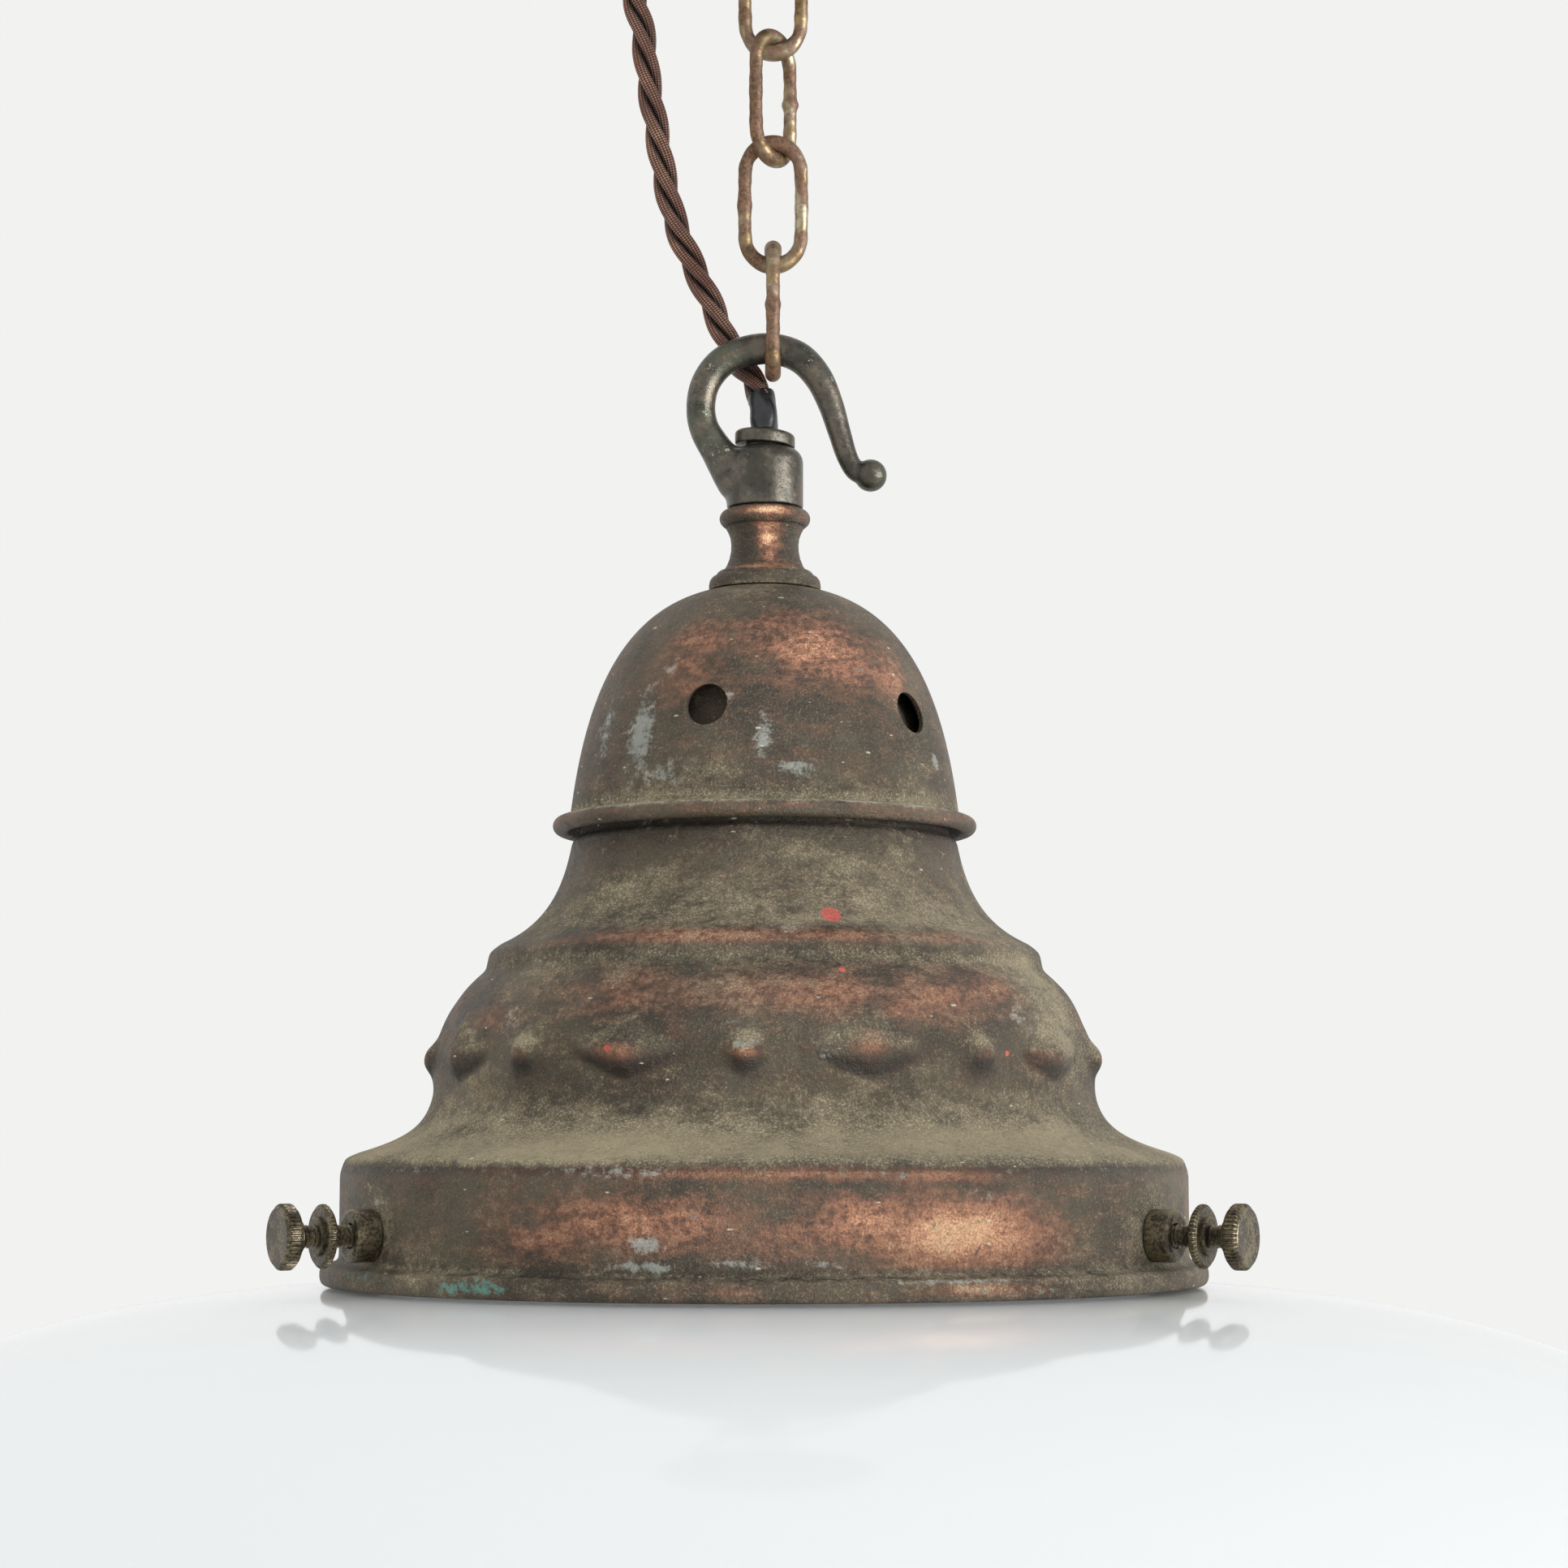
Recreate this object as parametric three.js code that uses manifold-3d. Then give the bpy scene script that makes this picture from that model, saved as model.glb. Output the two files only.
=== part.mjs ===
// Pendant lamp: a patinated copper gallery and cap on a cast hook, hung by a steel chain,
// with a twisted braided flex beside the chain and a white opal glass shade held by thumb screws.
// Millimetres, +Z up, +Y away from the viewer. The origin is the centre of the ceiling plate's top face.

import * as THREE from 'three';
import { mergeVertices } from 'three/addons/utils/BufferGeometryUtils.js';
import { ConvexGeometry } from 'three/addons/geometries/ConvexGeometry.js';
import Module from 'manifold-3d';

const wasm = await Module();
wasm.setup();

// Clearances and shared values
const seatGap = 0.3;
const cutOverrun = 1;
const lampOffset = -1.5;
const fullTurn = 2 * Math.PI;

// Faceting
const bodySides = 32;
const smallSides = 16;
const tinySides = 12;
const rodSides = 8;
const curveSteps = 4;

// Ceiling plate and its fixings
const plateRadius = 42;
const plateHeight = 12;
const plateCrownRadius = 16;
const plateRimHeight = 3;
const plateRecessRadius = 9;
const plateRecessDepth = 5;
const plateBellyShare = 0.5;
const plateScrewPlace = 30;
const plateScrewRadius = 2;
const plateScrewHead = 3.8;
const plateScrewDome = 2.2;
const plateScrewSeat = 5;
const ceilingHookRod = 2;
const ceilingHookLoop = 7;
const ceilingHookStem = 2.2;
const ceilingHookSweep = 190;
const ceilingHookOpening = 40;
const ceilingHookPoints = 9;
const ceilingHookSteps = 16;
const hookNutSize = 4.6;
const hookNutHeight = 3.2;
const hookThreadPast = 0.8;
const outletPlace = -27.5;
const outletBushRadius = 5.4;
const outletBushHeight = 6;
const outletBushEnd = 16;
const outletSpigot = 3.9;

// Chain
const linkCount = 4;
const linkWire = 2.8;
const linkLength = 26.5;
const linkWidth = 13.2;
const linkYaws = [0, 53, 0, 90];
const linkSteps = 12;
const wireSides = 6;

// Flex, a braided twisted cord, with its sleeve
const flexRadius = 2.35;
const flexSides = 8;
const sleeveRadius = 2.6;
const flexRoute = [
  [-27.5, 0, -16.3],
  [-27.4, 0.4, -24],
  [-26.9, 1.2, -32],
  [-26.1, 2, -37.8],
  [-24.9, 2.4, -42.9],
  [-23.6, 3, -53.1],
  [-22, 4, -62.9],
  [-20.2, 5.2, -73],
  [-18.2, 6.1, -80.5],
  [-14.9, 7, -88.1],
  [-11.4, 7.5, -95.6],
  [-9.4, 7.6, -100.5],
  [-7.1, 7.2, -105.2],
  [-4.1, 4.7, -110],
  [-2.2, 2, -114.7],
  [-1.6, 0.3, -118.4],
  [-1.5, 0, -121],
];
const flexCuts = [0, 5, 9, 14, 16];
const flexSteps = [4, 4, 4, 3];

// Cast hook
const hookRod = 3;
const hookBall = 3.05;
const hookSteps = 20;
const hookRise = 18.9;
const hookSpan = 13.5;
const hookDrop = 24.1;
const hookShares = [
  [-0.44, 1.08], [-0.57, 0.97], [-0.77, 0.8], [-0.95, 0.63], [-1, 0.47], [-0.94, 0.28],
  [-0.72, 0.11], [-0.38, 0.02], [0, 0], [0.36, 0.066], [0.62, 0.22], [0.8, 0.44],
  [0.92, 0.66], [1.04, 0.87], [1.16, 0.975], [1.35, 1],
];
const castingRadius = 7.15;
const castingHeight = 11.4;
const castingShoulder = 3;
const castingTopWall = 2.5;
const castingMouth = 4;

// Cable bush in the top of the casting
const bushRadius = 5.7;
const bushHeight = 2.6;
const bushSpigot = 3.6;
const bushSpigotDepth = 2.2;
const bushBore = 2.7;

// Turned neck below the casting
const neckHeight = 15.4;
const neckFoot = 10.4;
const neckShares = [
  [1, 0], [1, 0.1], [0.98, 0.13], [0.93, 0.165], [0.8, 0.225], [0.7, 0.27], [0.64, 0.36], [0.615, 0.5],
  [0.635, 0.6], [0.695, 0.72], [0.71, 0.76], [0.775, 0.8], [0.817, 0.885], [0.77, 0.96], [0.7, 1],
];

// Hollow threaded nipple that ties the lamp together
const nippleRadius = 4.8;
const nippleBore = 3.6;
const nippleUp = 8;
const nippleDown = 29;

// Dome cap
const capRadius = 35.8;
const capLift = 0.7;
const capHeight = 45.7;
const capWall = 0.8;
const capBeadRadius = 1.85;
const capBeadOut = 1.35;
const capUpperPullShares = [0.79, 0.9];
const capLowerPullShares = [0.937, 0.553];
const capBeadFrom = 1.9;
const capBeadSweep = 4;
const ventRadius = 3.75;
const ventCount = 5;
const ventTurn = -18;
const ventDrop = 24.9;

// Gallery body, pressed sheet
const galleryWall = 1;
const bandRadius = 76.8;
const bandHeight = 21.4;
const bandShoulder = 3.2;
const bandShoulderRise = 2.1;
const bandShoulderBulgeShare = 0.72;
const flangeReach = 3.4;
const flangeRadius = bandRadius + flangeReach;
const flangeHeight = 3.9;
const flangeRound = 0.9;
const filletHeight = 1.3;
const lowerCovePullShares = [0.39, 0.35];
const lowerCoveRiseShare = 0.2;
const coveTopRadius = 60.1;
const coveTopHeight = 36.5;
const bulgeRadius = 59.6;
const bulgeHeight = 41;
const bulgeTopRadius = 51;
const bulgeTopHeight = 56.4;
const bulgeUpperPullShares = [0.55, 0.25];
const bulgeLowerPullShares = [0.95, 0.6];
const ridgeRadius = 50.4;
const ridgeHeight = 59.6;
const ridgeTopRadius = 48.6;
const ridgeTopHeight = 61.05;
const neckSheetRadius = 35.4;
const neckSheetHeight = 80.2;
const upperCoveTopShares = [0.12, 0.46];
const upperCoveLowShares = [0.35, 0.8];
const collarRadius = 34;
const collarRise = 3.8;
const collarStep = 0.9;
const crownUpperPullShare = 0.7;
const crownLowerPullShares = [0.9, 0.48];
const crownVentRadius = 4;
const crownVentPlace = 19;
const crownVentTurn = 18;
const crownVentDrill = 5;

// Pressed studs round the bulge
const studCount = 9;
const studTurn = -2.5;
const studHeight = 40.4;
const studRadius = 2.7;
const studRise = 2;
const studSink = 0.7;
const studSteps = 3;
const wedgeWide = 8.6;
const wedgeUp = 2.6;
const wedgeDown = 4.4;
const wedgeRise = 2;

// Seats above and under the gallery crown
const spacerRadius = 8;
const spacerHeight = 6.4;
const washerRadius = 11;
const washerHeight = 1.4;
const galleryNutSize = 8.4;
const galleryNutHeight = 4.5;

// Thumb screws, their lock nuts and bosses
const screwCount = 3;
const screwTurn = -60;
const screwHeight = 9.6;
const bossRadius = 4.5;
const bossLength = 4.4;
const shankRadius = 2;
const shankClear = 0.35;
const nutRadius = 5.45;
const nutThick = 1.6;
const nutStandOff = 3.7;
const nutPlace = bandRadius + seatGap + bossLength + nutStandOff;
const headRadius = 5.6;
const headThick = 3;
const headStandOff = 4.5;
const headPlace = nutPlace + nutThick + headStandOff;
const headBevel = 0.6;
const knurlTeeth = 14;
const knurlDepth = 0.45;

// Opal glass shade
const shadeRadius = 200;
const shadeDrop = 85;
const shadeCrest = 0.5;
const shadeRimDrop = 12;
const shadeRimTuck = 3;
const shadeRimRound = 1;
const shadeWall = 3.2;
const shadeLipClear = 2.6;
const shadeLipReach = 3.2;
const shadeLip = bandRadius - galleryWall - shadeLipClear;
const shadeNeck = shadeLip - shadeLipReach;
const shadeNeckFillet = 3;
const shadeLipHeight = 4.5;
const shadeLipRound = 1;
const shadeSteps = 9;

// Lampholder
const holderCapRadius = 14.6;
const holderCapHeight = 18;
const holderCapBoss = 8.2;
const holderCapBossHeight = 5;
const holderCapTop = 7.4;
const holderCapSkirt = 5;
const holderWall = 1.1;
const holderDrop = 2;
const barrelRadius = 13;
const barrelHeight = 30;
const barrelLap = 1.6;
const slotWidth = 3.2;
const blockRadius = 11.4;
const blockHeight = 9;
const blockDrop = 12.6;
const plungerRadius = 1.7;
const plungerHeight = 6.4;
const plungerPlace = 5;
const plungerOut = 3.4;
const ringRadius = 16.6;
const ringHeight = 5;
const ringPlace = 14;

// Bulb
const bulbCapRadius = 11;
const bulbCapHeight = 25;
const pinRadius = 1.1;
const pinReach = 12.6;
const pinDrop = 8;
const bulbRadius = 30;
const bulbLength = 74;
const bulbNeck = 10.4;
const bulbNeckHeight = 5;
const bulbNeckPullShare = 0.4;
const bulbSidePullShare = 0.45;
const bulbWall = 1;

// Materials
const copper = { color: 0x54473a, roughness: 0.55, metalness: 0.8 };
const bronze = { color: 0x40403a, roughness: 0.5, metalness: 0.8 };
const steel = { color: 0x8a7460, roughness: 0.7, metalness: 0.6 };
const brass = { color: 0x9a7b46, roughness: 0.4, metalness: 0.9 };
const screwMetal = { color: 0x4a4640, roughness: 0.5, metalness: 0.8 };
const braid = { color: 0x4a3029, roughness: 0.9, metalness: 0 };
const sleeveBlack = { color: 0x1c1c1e, roughness: 0.45, metalness: 0 };
const opal = { color: 0xf2f5f5, roughness: 0.1, metalness: 0 };
const porcelain = { color: 0xe8e2d4, roughness: 0.3, metalness: 0 };

// Heights, worked down from the ceiling plate
const ceilingHookZ = -(plateHeight + ceilingHookStem + 2 * ceilingHookLoop);
const linkTopZ = ceilingHookZ + ceilingHookRod + seatGap + linkWire;
const linkPitch = linkLength - 2 * linkWire - seatGap;
const linkEndZ = linkTopZ - (linkCount - 1) * linkPitch - linkLength;
const hookCrownZ = linkEndZ + linkWire + seatGap + hookRod;

// Heights of the lamp's own pieces above the flange's underside
const capBase = neckSheetHeight + seatGap + capLift;
const capSeat = capBase + capHeight;
const neckBase = capSeat + seatGap;
const castingBase = neckBase + neckHeight + seatGap;
const castingTop = castingBase + castingHeight;
const bushBase = castingTop + seatGap;
const bushTop = bushBase + bushHeight;
const crownHeight = castingTop + hookRise;
const flangeZ = hookCrownZ - crownHeight;
const spacerTop = capSeat - capWall - seatGap;
const crownTop = spacerTop - spacerHeight - seatGap;
const washerTop = crownTop - galleryWall - seatGap;
const galleryNutTop = washerTop - washerHeight - seatGap;
const holderTop = galleryNutTop - galleryNutHeight - holderDrop;
const holderCapBase = holderTop - holderCapHeight;
const barrelTop = holderCapBase + barrelLap;
const barrelBase = barrelTop - barrelHeight;
const blockTop = holderTop - blockDrop;
const blockBase = blockTop - blockHeight;
const plungerBase = blockBase - plungerOut;
const bulbCapTop = plungerBase - seatGap;
const bulbCapBase = bulbCapTop - bulbCapHeight;
const nippleHole = nippleRadius + seatGap;
const chainFromAxis = -lampOffset;
const bossHole = shankRadius + shankClear;

// Removes doubled vertices and flat triangles, and turns the faces outwards
function welded(geometry) {
  geometry.deleteAttribute('normal');
  geometry.deleteAttribute('uv');
  const merged = mergeVertices(geometry);
  const place = merged.getAttribute('position');
  const index = merged.getIndex();
  const corners = [0, 1, 2].map(() => new THREE.Vector3());
  const kept = [];
  let volume = 0;
  for (let i = 0; i < index.count; i += 3) {
    const face = [index.getX(i), index.getX(i + 1), index.getX(i + 2)];
    if (new Set(face).size === 3) {
      kept.push(face);
      face.forEach((vertex, corner) => corners[corner].fromBufferAttribute(place, vertex));
      volume += corners[0].dot(corners[1].cross(corners[2]));
    }
  }
  merged.setIndex((volume < 0 ? kept.map((face) => face.reverse()) : kept).flat());
  return merged;
}

function asManifold(geometry) {
  const clean = welded(geometry);
  const vertProperties = new Float32Array(clean.getAttribute('position').array);
  const triVerts = new Uint32Array(clean.getIndex().array);
  return new wasm.Manifold(new wasm.Mesh({ numProp: 3, vertProperties, triVerts }));
}

function asGeometry(manifold) {
  const mesh = manifold.getMesh();
  const geometry = new THREE.BufferGeometry();
  geometry.setAttribute('position', new THREE.BufferAttribute(new Float32Array(mesh.vertProperties), 3));
  geometry.setIndex(new THREE.BufferAttribute(new Uint32Array(mesh.triVerts), 1));
  return geometry;
}

// A profile of radius and height pairs that starts and ends on the axis, turned about it
function turned(profile, sides) {
  const points = profile.map(([radius, height]) => new THREE.Vector2(radius, height));
  const geometry = new THREE.LatheGeometry(points, sides);
  geometry.rotateX(Math.PI / 2);
  return welded(geometry);
}

// A profile that closes on itself away from the axis, turned about it
function turnedRing(profile, sides) {
  return turned([...profile, profile[0]], sides);
}

function tube(inner, outer, low, high, sides) {
  return turnedRing([[inner, low], [outer, low], [outer, high], [inner, high]], sides);
}

function rod(radius, low, high, sides) {
  return turned([[0, low], [radius, low], [radius, high], [0, high]], sides);
}

// Points of a cubic curve between two places, without its first point
function swept(from, pullFrom, pullTo, to) {
  const ends = [from, pullFrom, pullTo, to].map(([x, y]) => new THREE.Vector2(x, y));
  const curve = new THREE.CubicBezierCurve(...ends);
  return curve.getPoints(curveSteps).slice(1).map((point) => [point.x, point.y]);
}

// Points of an arc about a centre, from an angle through a sweep
function arc(centre, radius, fromAngle, sweep, steps = curveSteps) {
  return Array.from({ length: steps + 1 }, (_, i) => {
    const angle = fromAngle + (sweep * i) / steps;
    return [centre[0] + radius * Math.cos(angle), centre[1] + radius * Math.sin(angle)];
  });
}

// A place between two corners, by a share of the way across and a share of the way up
function between(from, to, acrossShare, upShare) {
  return [from[0] + (to[0] - from[0]) * acrossShare, from[1] + (to[1] - from[1]) * upShare];
}

// The inner line of a sheet wall whose outer line runs downwards
function innerLine(line, wall) {
  return line.map((point, i) => {
    const before = line[Math.max(i - 1, 0)];
    const after = line[Math.min(i + 1, line.length - 1)];
    const run = Math.hypot(after[0] - before[0], after[1] - before[1]);
    const across = (wall * (after[1] - before[1])) / run;
    const up = (wall * (after[0] - before[0])) / run;
    return [point[0] + across, point[1] - up];
  }).reverse();
}

function roundShape(radii) {
  const shape = new THREE.Shape();
  radii.forEach((radius, i) => {
    const angle = (fullTurn * i) / radii.length;
    const place = [radius * Math.cos(angle), radius * Math.sin(angle)];
    if (i === 0) {
      shape.moveTo(...place);
    } else {
      shape.lineTo(...place);
    }
  });
  shape.closePath();
  return shape;
}

function circle(radius, sides) {
  return roundShape(Array(sides).fill(radius));
}

function tubeAlong(points, radius, sides, steps) {
  const path = new THREE.CatmullRomCurve3(points, false, 'centripetal');
  const settings = { steps, bevelEnabled: false, extrudePath: path };
  return welded(new THREE.ExtrudeGeometry(circle(radius, sides), settings));
}

function hexNut(corner, hole, low, height) {
  const shape = circle(corner, 6);
  shape.holes.push(circle(hole, tinySides));
  const geometry = new THREE.ExtrudeGeometry(shape, { depth: height, steps: 1, bevelEnabled: false });
  geometry.translate(0, 0, low);
  return welded(geometry);
}

function knurledDisc(radius, from, thick) {
  const radii = Array.from({ length: 2 * knurlTeeth }, (_, i) => (i % 2 ? radius - knurlDepth : radius));
  const settings = { depth: thick - 2 * headBevel, steps: 1, bevelEnabled: true, bevelSegments: 1 };
  settings.bevelSize = headBevel;
  settings.bevelOffset = -headBevel;
  settings.bevelThickness = headBevel;
  const geometry = new THREE.ExtrudeGeometry(roundShape(radii), settings);
  geometry.translate(0, 0, from + headBevel);
  return welded(geometry);
}

function named(name, geometry, finish) {
  const mesh = new THREE.Mesh(geometry, new THREE.MeshStandardMaterial(finish));
  mesh.name = name;
  return mesh;
}

// Stands a geometry made along Z out from the axis, at an angle from the viewer's side
function outwards(geometry, degrees, height) {
  geometry.rotateX(Math.PI / 2);
  geometry.translate(0, 0, height);
  geometry.rotateZ(THREE.MathUtils.degToRad(degrees));
  return geometry;
}

// Ceiling plate, a flat-backed casting with a recess for the hook's nut
function ceilingPlate() {
  const belly = plateHeight - plateRimHeight;
  const rim = [plateRadius, -plateRimHeight];
  const crown = [plateCrownRadius, -plateHeight];
  const hole = ceilingHookRod + seatGap;
  const profile = [
    [plateRecessRadius, 0],
    [plateRadius, 0],
    rim,
    ...swept(rim, [plateRadius, -plateRimHeight - belly * plateBellyShare],
      [plateCrownRadius + belly, -plateHeight], crown),
    [hole, -plateHeight],
    [hole, -plateRecessDepth],
    [plateRecessRadius, -plateRecessDepth],
  ];
  let plate = asManifold(turnedRing(profile, bodySides));
  for (const side of [-1, 1]) {
    const drill = rod(plateScrewRadius + seatGap, -plateHeight - cutOverrun, cutOverrun, tinySides);
    const counterbore = rod(plateScrewHead + seatGap, -plateHeight - cutOverrun, -plateScrewSeat, tinySides);
    for (const cut of [drill, counterbore]) {
      cut.translate(0, side * plateScrewPlace, 0);
      plate = plate.subtract(asManifold(cut));
    }
  }
  const outlet = rod(outletSpigot + seatGap, -plateHeight - cutOverrun, cutOverrun, tinySides);
  outlet.translate(outletPlace, 0, 0);
  return named('ceiling_plate', asGeometry(plate.subtract(asManifold(outlet))), copper);
}

// Round-headed screw, cut level with the back of the plate
function ceilingScrew(side, number) {
  const seat = -plateScrewSeat - seatGap;
  const dome = arc([0, seat], 1, -Math.PI / 2, Math.PI / 2)
    .map(([x, y]) => [x * plateScrewHead, seat + (y - seat) * plateScrewDome]);
  const profile = [...dome, [plateScrewRadius, seat], [plateScrewRadius, -seatGap], [0, -seatGap]];
  profile[0] = [0, seat - plateScrewDome];
  const screw = named(`ceiling_screw_${number}`, turned(profile, tinySides), brass);
  screw.position.set(0, side * plateScrewPlace, 0);
  return screw;
}

// Open hook whose stem passes through the plate
function ceilingHook() {
  const centre = ceilingHookZ + ceilingHookLoop;
  const points = [
    new THREE.Vector3(0, 0, -plateRecessDepth + hookNutHeight + hookThreadPast),
    new THREE.Vector3(0, 0, -plateHeight),
    new THREE.Vector3(0, 0, -plateHeight - ceilingHookStem),
  ];
  for (let i = 0; i < ceilingHookPoints; i += 1) {
    const degrees = ceilingHookOpening - (ceilingHookSweep * i) / (ceilingHookPoints - 1);
    const angle = THREE.MathUtils.degToRad(degrees);
    const along = ceilingHookLoop * Math.cos(angle);
    points.push(new THREE.Vector3(0, along, centre + ceilingHookLoop * Math.sin(angle)));
  }
  const hook = tubeAlong(points, ceilingHookRod, wireSides, ceilingHookSteps);
  return named('ceiling_hook', hook, bronze);
}

function ceilingHookNut() {
  const low = -plateRecessDepth + seatGap;
  return named('ceiling_hook_nut', hexNut(hookNutSize, ceilingHookRod + seatGap, low, hookNutHeight), brass);
}

// Bush that the flex leaves the plate by
function outletBush() {
  const top = -plateHeight + outletBushHeight;
  const bottom = -outletBushEnd;
  const profile = [
    [0, top], [outletSpigot, top], [outletSpigot, -plateHeight - seatGap],
    [outletBushRadius, -plateHeight - seatGap], [outletSpigot, bottom + seatGap], [0, bottom + seatGap],
  ];
  const bush = named('ceiling_flex_bush', turned(profile, tinySides), sleeveBlack);
  bush.position.set(outletPlace, 0, 0);
  return bush;
}

// Chain link, a torus whose two ends are drawn apart
function chainLink(number) {
  const halfStep = Math.PI / linkSteps;
  const bend = (linkWidth - linkWire) / 2;
  const straight = linkLength - linkWidth;
  const geometry = new THREE.TorusGeometry(bend / Math.cos(halfStep), linkWire / 2, wireSides, linkSteps);
  geometry.rotateZ(halfStep);
  const place = geometry.getAttribute('position');
  for (let i = 0; i < place.count; i += 1) {
    const y = place.getY(i);
    place.setY(i, y * Math.cos(halfStep) + (Math.sign(y) * straight) / 2);
  }
  geometry.rotateX(Math.PI / 2);
  const link = named(`chain_link_${number + 1}`, welded(geometry), steel);
  link.rotation.z = THREE.MathUtils.degToRad(linkYaws[number]);
  link.position.set(0, 0, linkTopZ - number * linkPitch - linkLength / 2);
  return link;
}

// Free flex in stretches that meet face to face, the last one inside its sleeve
function flexStretch(number) {
  const names = ['flex_upper', 'flex_middle', 'flex_lower', 'flex_sleeve'];
  const from = flexCuts[number];
  const to = flexCuts[number + 1];
  const curve = new THREE.CatmullRomCurve3(
    flexRoute.map((point) => new THREE.Vector3(...point)), false, 'centripetal');
  const last = flexRoute.length - 1;
  const steps = flexSteps[number];
  const points = Array.from({ length: steps + 1 }, (_, i) => {
    return curve.getPoint((from + ((to - from) * i) / steps) / last);
  });
  const trim = points[steps - 1].clone().sub(points[steps]).setLength(2 * seatGap);
  if (number < names.length - 1) {
    points[steps].add(trim);
  }
  const radius = number < names.length - 1 ? flexRadius : sleeveRadius;
  const finish = number < names.length - 1 ? braid : sleeveBlack;
  return named(names[number], tubeAlong(points, radius, flexSides, steps), finish);
}

// Flex inside the bush, casting, neck and nipple, down to the terminal block
function innerFlex() {
  return named('flex_inner', rod(flexRadius, blockTop + seatGap, bushTop - seatGap, flexSides), braid);
}

function cableBush() {
  const profile = [
    [bushBore, bushBase - bushSpigotDepth], [bushSpigot, bushBase - bushSpigotDepth], [bushSpigot, bushBase],
    [bushRadius, bushBase], [bushRadius, bushTop], [bushBore, bushTop],
  ];
  return named('cable_bush', turnedRing(profile, smallSides), bronze);
}

// Hook and its hollow base, cast as one
function hookCasting() {
  const shoulder = arc([castingRadius - castingShoulder, castingTop - castingShoulder], castingShoulder,
    0, Math.PI / 2);
  const outline = [[0, castingBase], [castingRadius, castingBase], ...shoulder, [0, castingTop]];
  const post = turned(outline, smallSides);
  const points = hookShares.map(([acrossShare, dropShare]) => {
    return new THREE.Vector3(chainFromAxis + acrossShare * hookSpan, 0, crownHeight - dropShare * hookDrop);
  });
  const ball = new THREE.SphereGeometry(hookBall, rodSides, wireSides);
  ball.translate(points.at(-1).x, 0, points.at(-1).z);
  const hook = tubeAlong(points, hookRod, rodSides, hookSteps);
  const bore = rod(nippleHole, castingBase - cutOverrun, castingTop - castingTopWall, smallSides);
  const mouth = rod(castingMouth, castingBase, castingTop + cutOverrun, smallSides);
  const whole = asManifold(post).add(asManifold(hook)).add(asManifold(ball))
    .subtract(asManifold(bore)).subtract(asManifold(mouth));
  return named('hook_casting', asGeometry(whole), bronze);
}

function neck() {
  const profile = neckShares.map(([acrossShare, upShare]) => {
    return [neckFoot * acrossShare, neckBase + neckHeight * upShare];
  });
  profile.push([nippleHole, neckBase + neckHeight], [nippleHole, neckBase]);
  return named('neck', turnedRing(profile, smallSides), copper);
}

function nipple() {
  const low = neckBase - nippleDown;
  const pipe = tube(nippleBore, nippleRadius, low, castingBase + nippleUp, smallSides);
  return named('threaded_nipple', pipe, brass);
}

// Dome cap with a wired edge and round vents
function domeCap() {
  const foot = [capRadius, capBase + 2 * capBeadRadius + seatGap];
  const seat = [neckFoot, capSeat];
  const outer = [
    [nippleHole, capSeat],
    seat,
    ...swept(seat, between([0, foot[1]], [capRadius, capSeat], ...capUpperPullShares),
      between([0, foot[1]], [capRadius, capSeat], capLowerPullShares[0], 1 - capLowerPullShares[1]), foot),
  ];
  const beadCentre = [capRadius + capBeadOut, capBase + capBeadRadius];
  const bead = arc(beadCentre, capBeadRadius, capBeadFrom, -capBeadSweep);
  const cap = asManifold(turnedRing([...outer, ...bead, ...innerLine(outer, capWall)], bodySides));
  let vented = cap;
  for (let i = 0; i < ventCount; i += 1) {
    const drill = rod(ventRadius, capRadius / 2, capRadius + cutOverrun, tinySides);
    outwards(drill, ventTurn + (360 * i) / ventCount, capSeat - ventDrop);
    vented = vented.subtract(asManifold(drill));
  }
  return named('dome_cap', asGeometry(vented), copper);
}

function capSpacer() {
  const ring = tube(nippleHole, spacerRadius, spacerTop - spacerHeight, spacerTop, smallSides);
  return named('cap_spacer', ring, brass);
}

// Outer line of the gallery's sheet, from the crown's hole down to the band
function galleryLine() {
  const crownSeat = [washerRadius + seatGap, crownTop];
  const collarTop = [collarRadius, neckSheetHeight + collarRise];
  const throat = [neckSheetRadius, neckSheetHeight];
  const ridgeTop = [ridgeTopRadius, ridgeTopHeight];
  const bulgeTop = [bulgeTopRadius, bulgeTopHeight];
  const bulge = [bulgeRadius, bulgeHeight];
  const coveTop = [coveTopRadius, coveTopHeight];
  const bandTop = [bandRadius - bandShoulder, bandHeight + bandShoulderRise];
  const bandEdge = [bandRadius, bandHeight - bandShoulder / 2];
  return [
    [nippleHole, crownTop],
    crownSeat,
    ...swept(crownSeat, [collarRadius * crownUpperPullShare, crownTop],
      between([0, collarTop[1]], [collarRadius, crownTop], ...crownLowerPullShares), collarTop),
    [collarRadius, neckSheetHeight + collarStep],
    throat,
    ...swept(throat, between(throat, ridgeTop, ...upperCoveTopShares),
      between(throat, ridgeTop, ...upperCoveLowShares), ridgeTop),
    [ridgeRadius, ridgeHeight],
    bulgeTop,
    ...swept(bulgeTop, between(bulgeTop, bulge, ...bulgeUpperPullShares),
      between(bulgeTop, bulge, ...bulgeLowerPullShares), bulge),
    coveTop,
    ...swept(coveTop, between(coveTop, bandTop, 0, 1 - lowerCovePullShares[0]),
      between(coveTop, bandTop, lowerCovePullShares[1], 1 - lowerCoveRiseShare), bandTop),
    between(bandTop, bandEdge, bandShoulderBulgeShare, 1 - bandShoulderBulgeShare),
    bandEdge,
    [bandRadius, flangeHeight + filletHeight],
  ];
}

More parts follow.
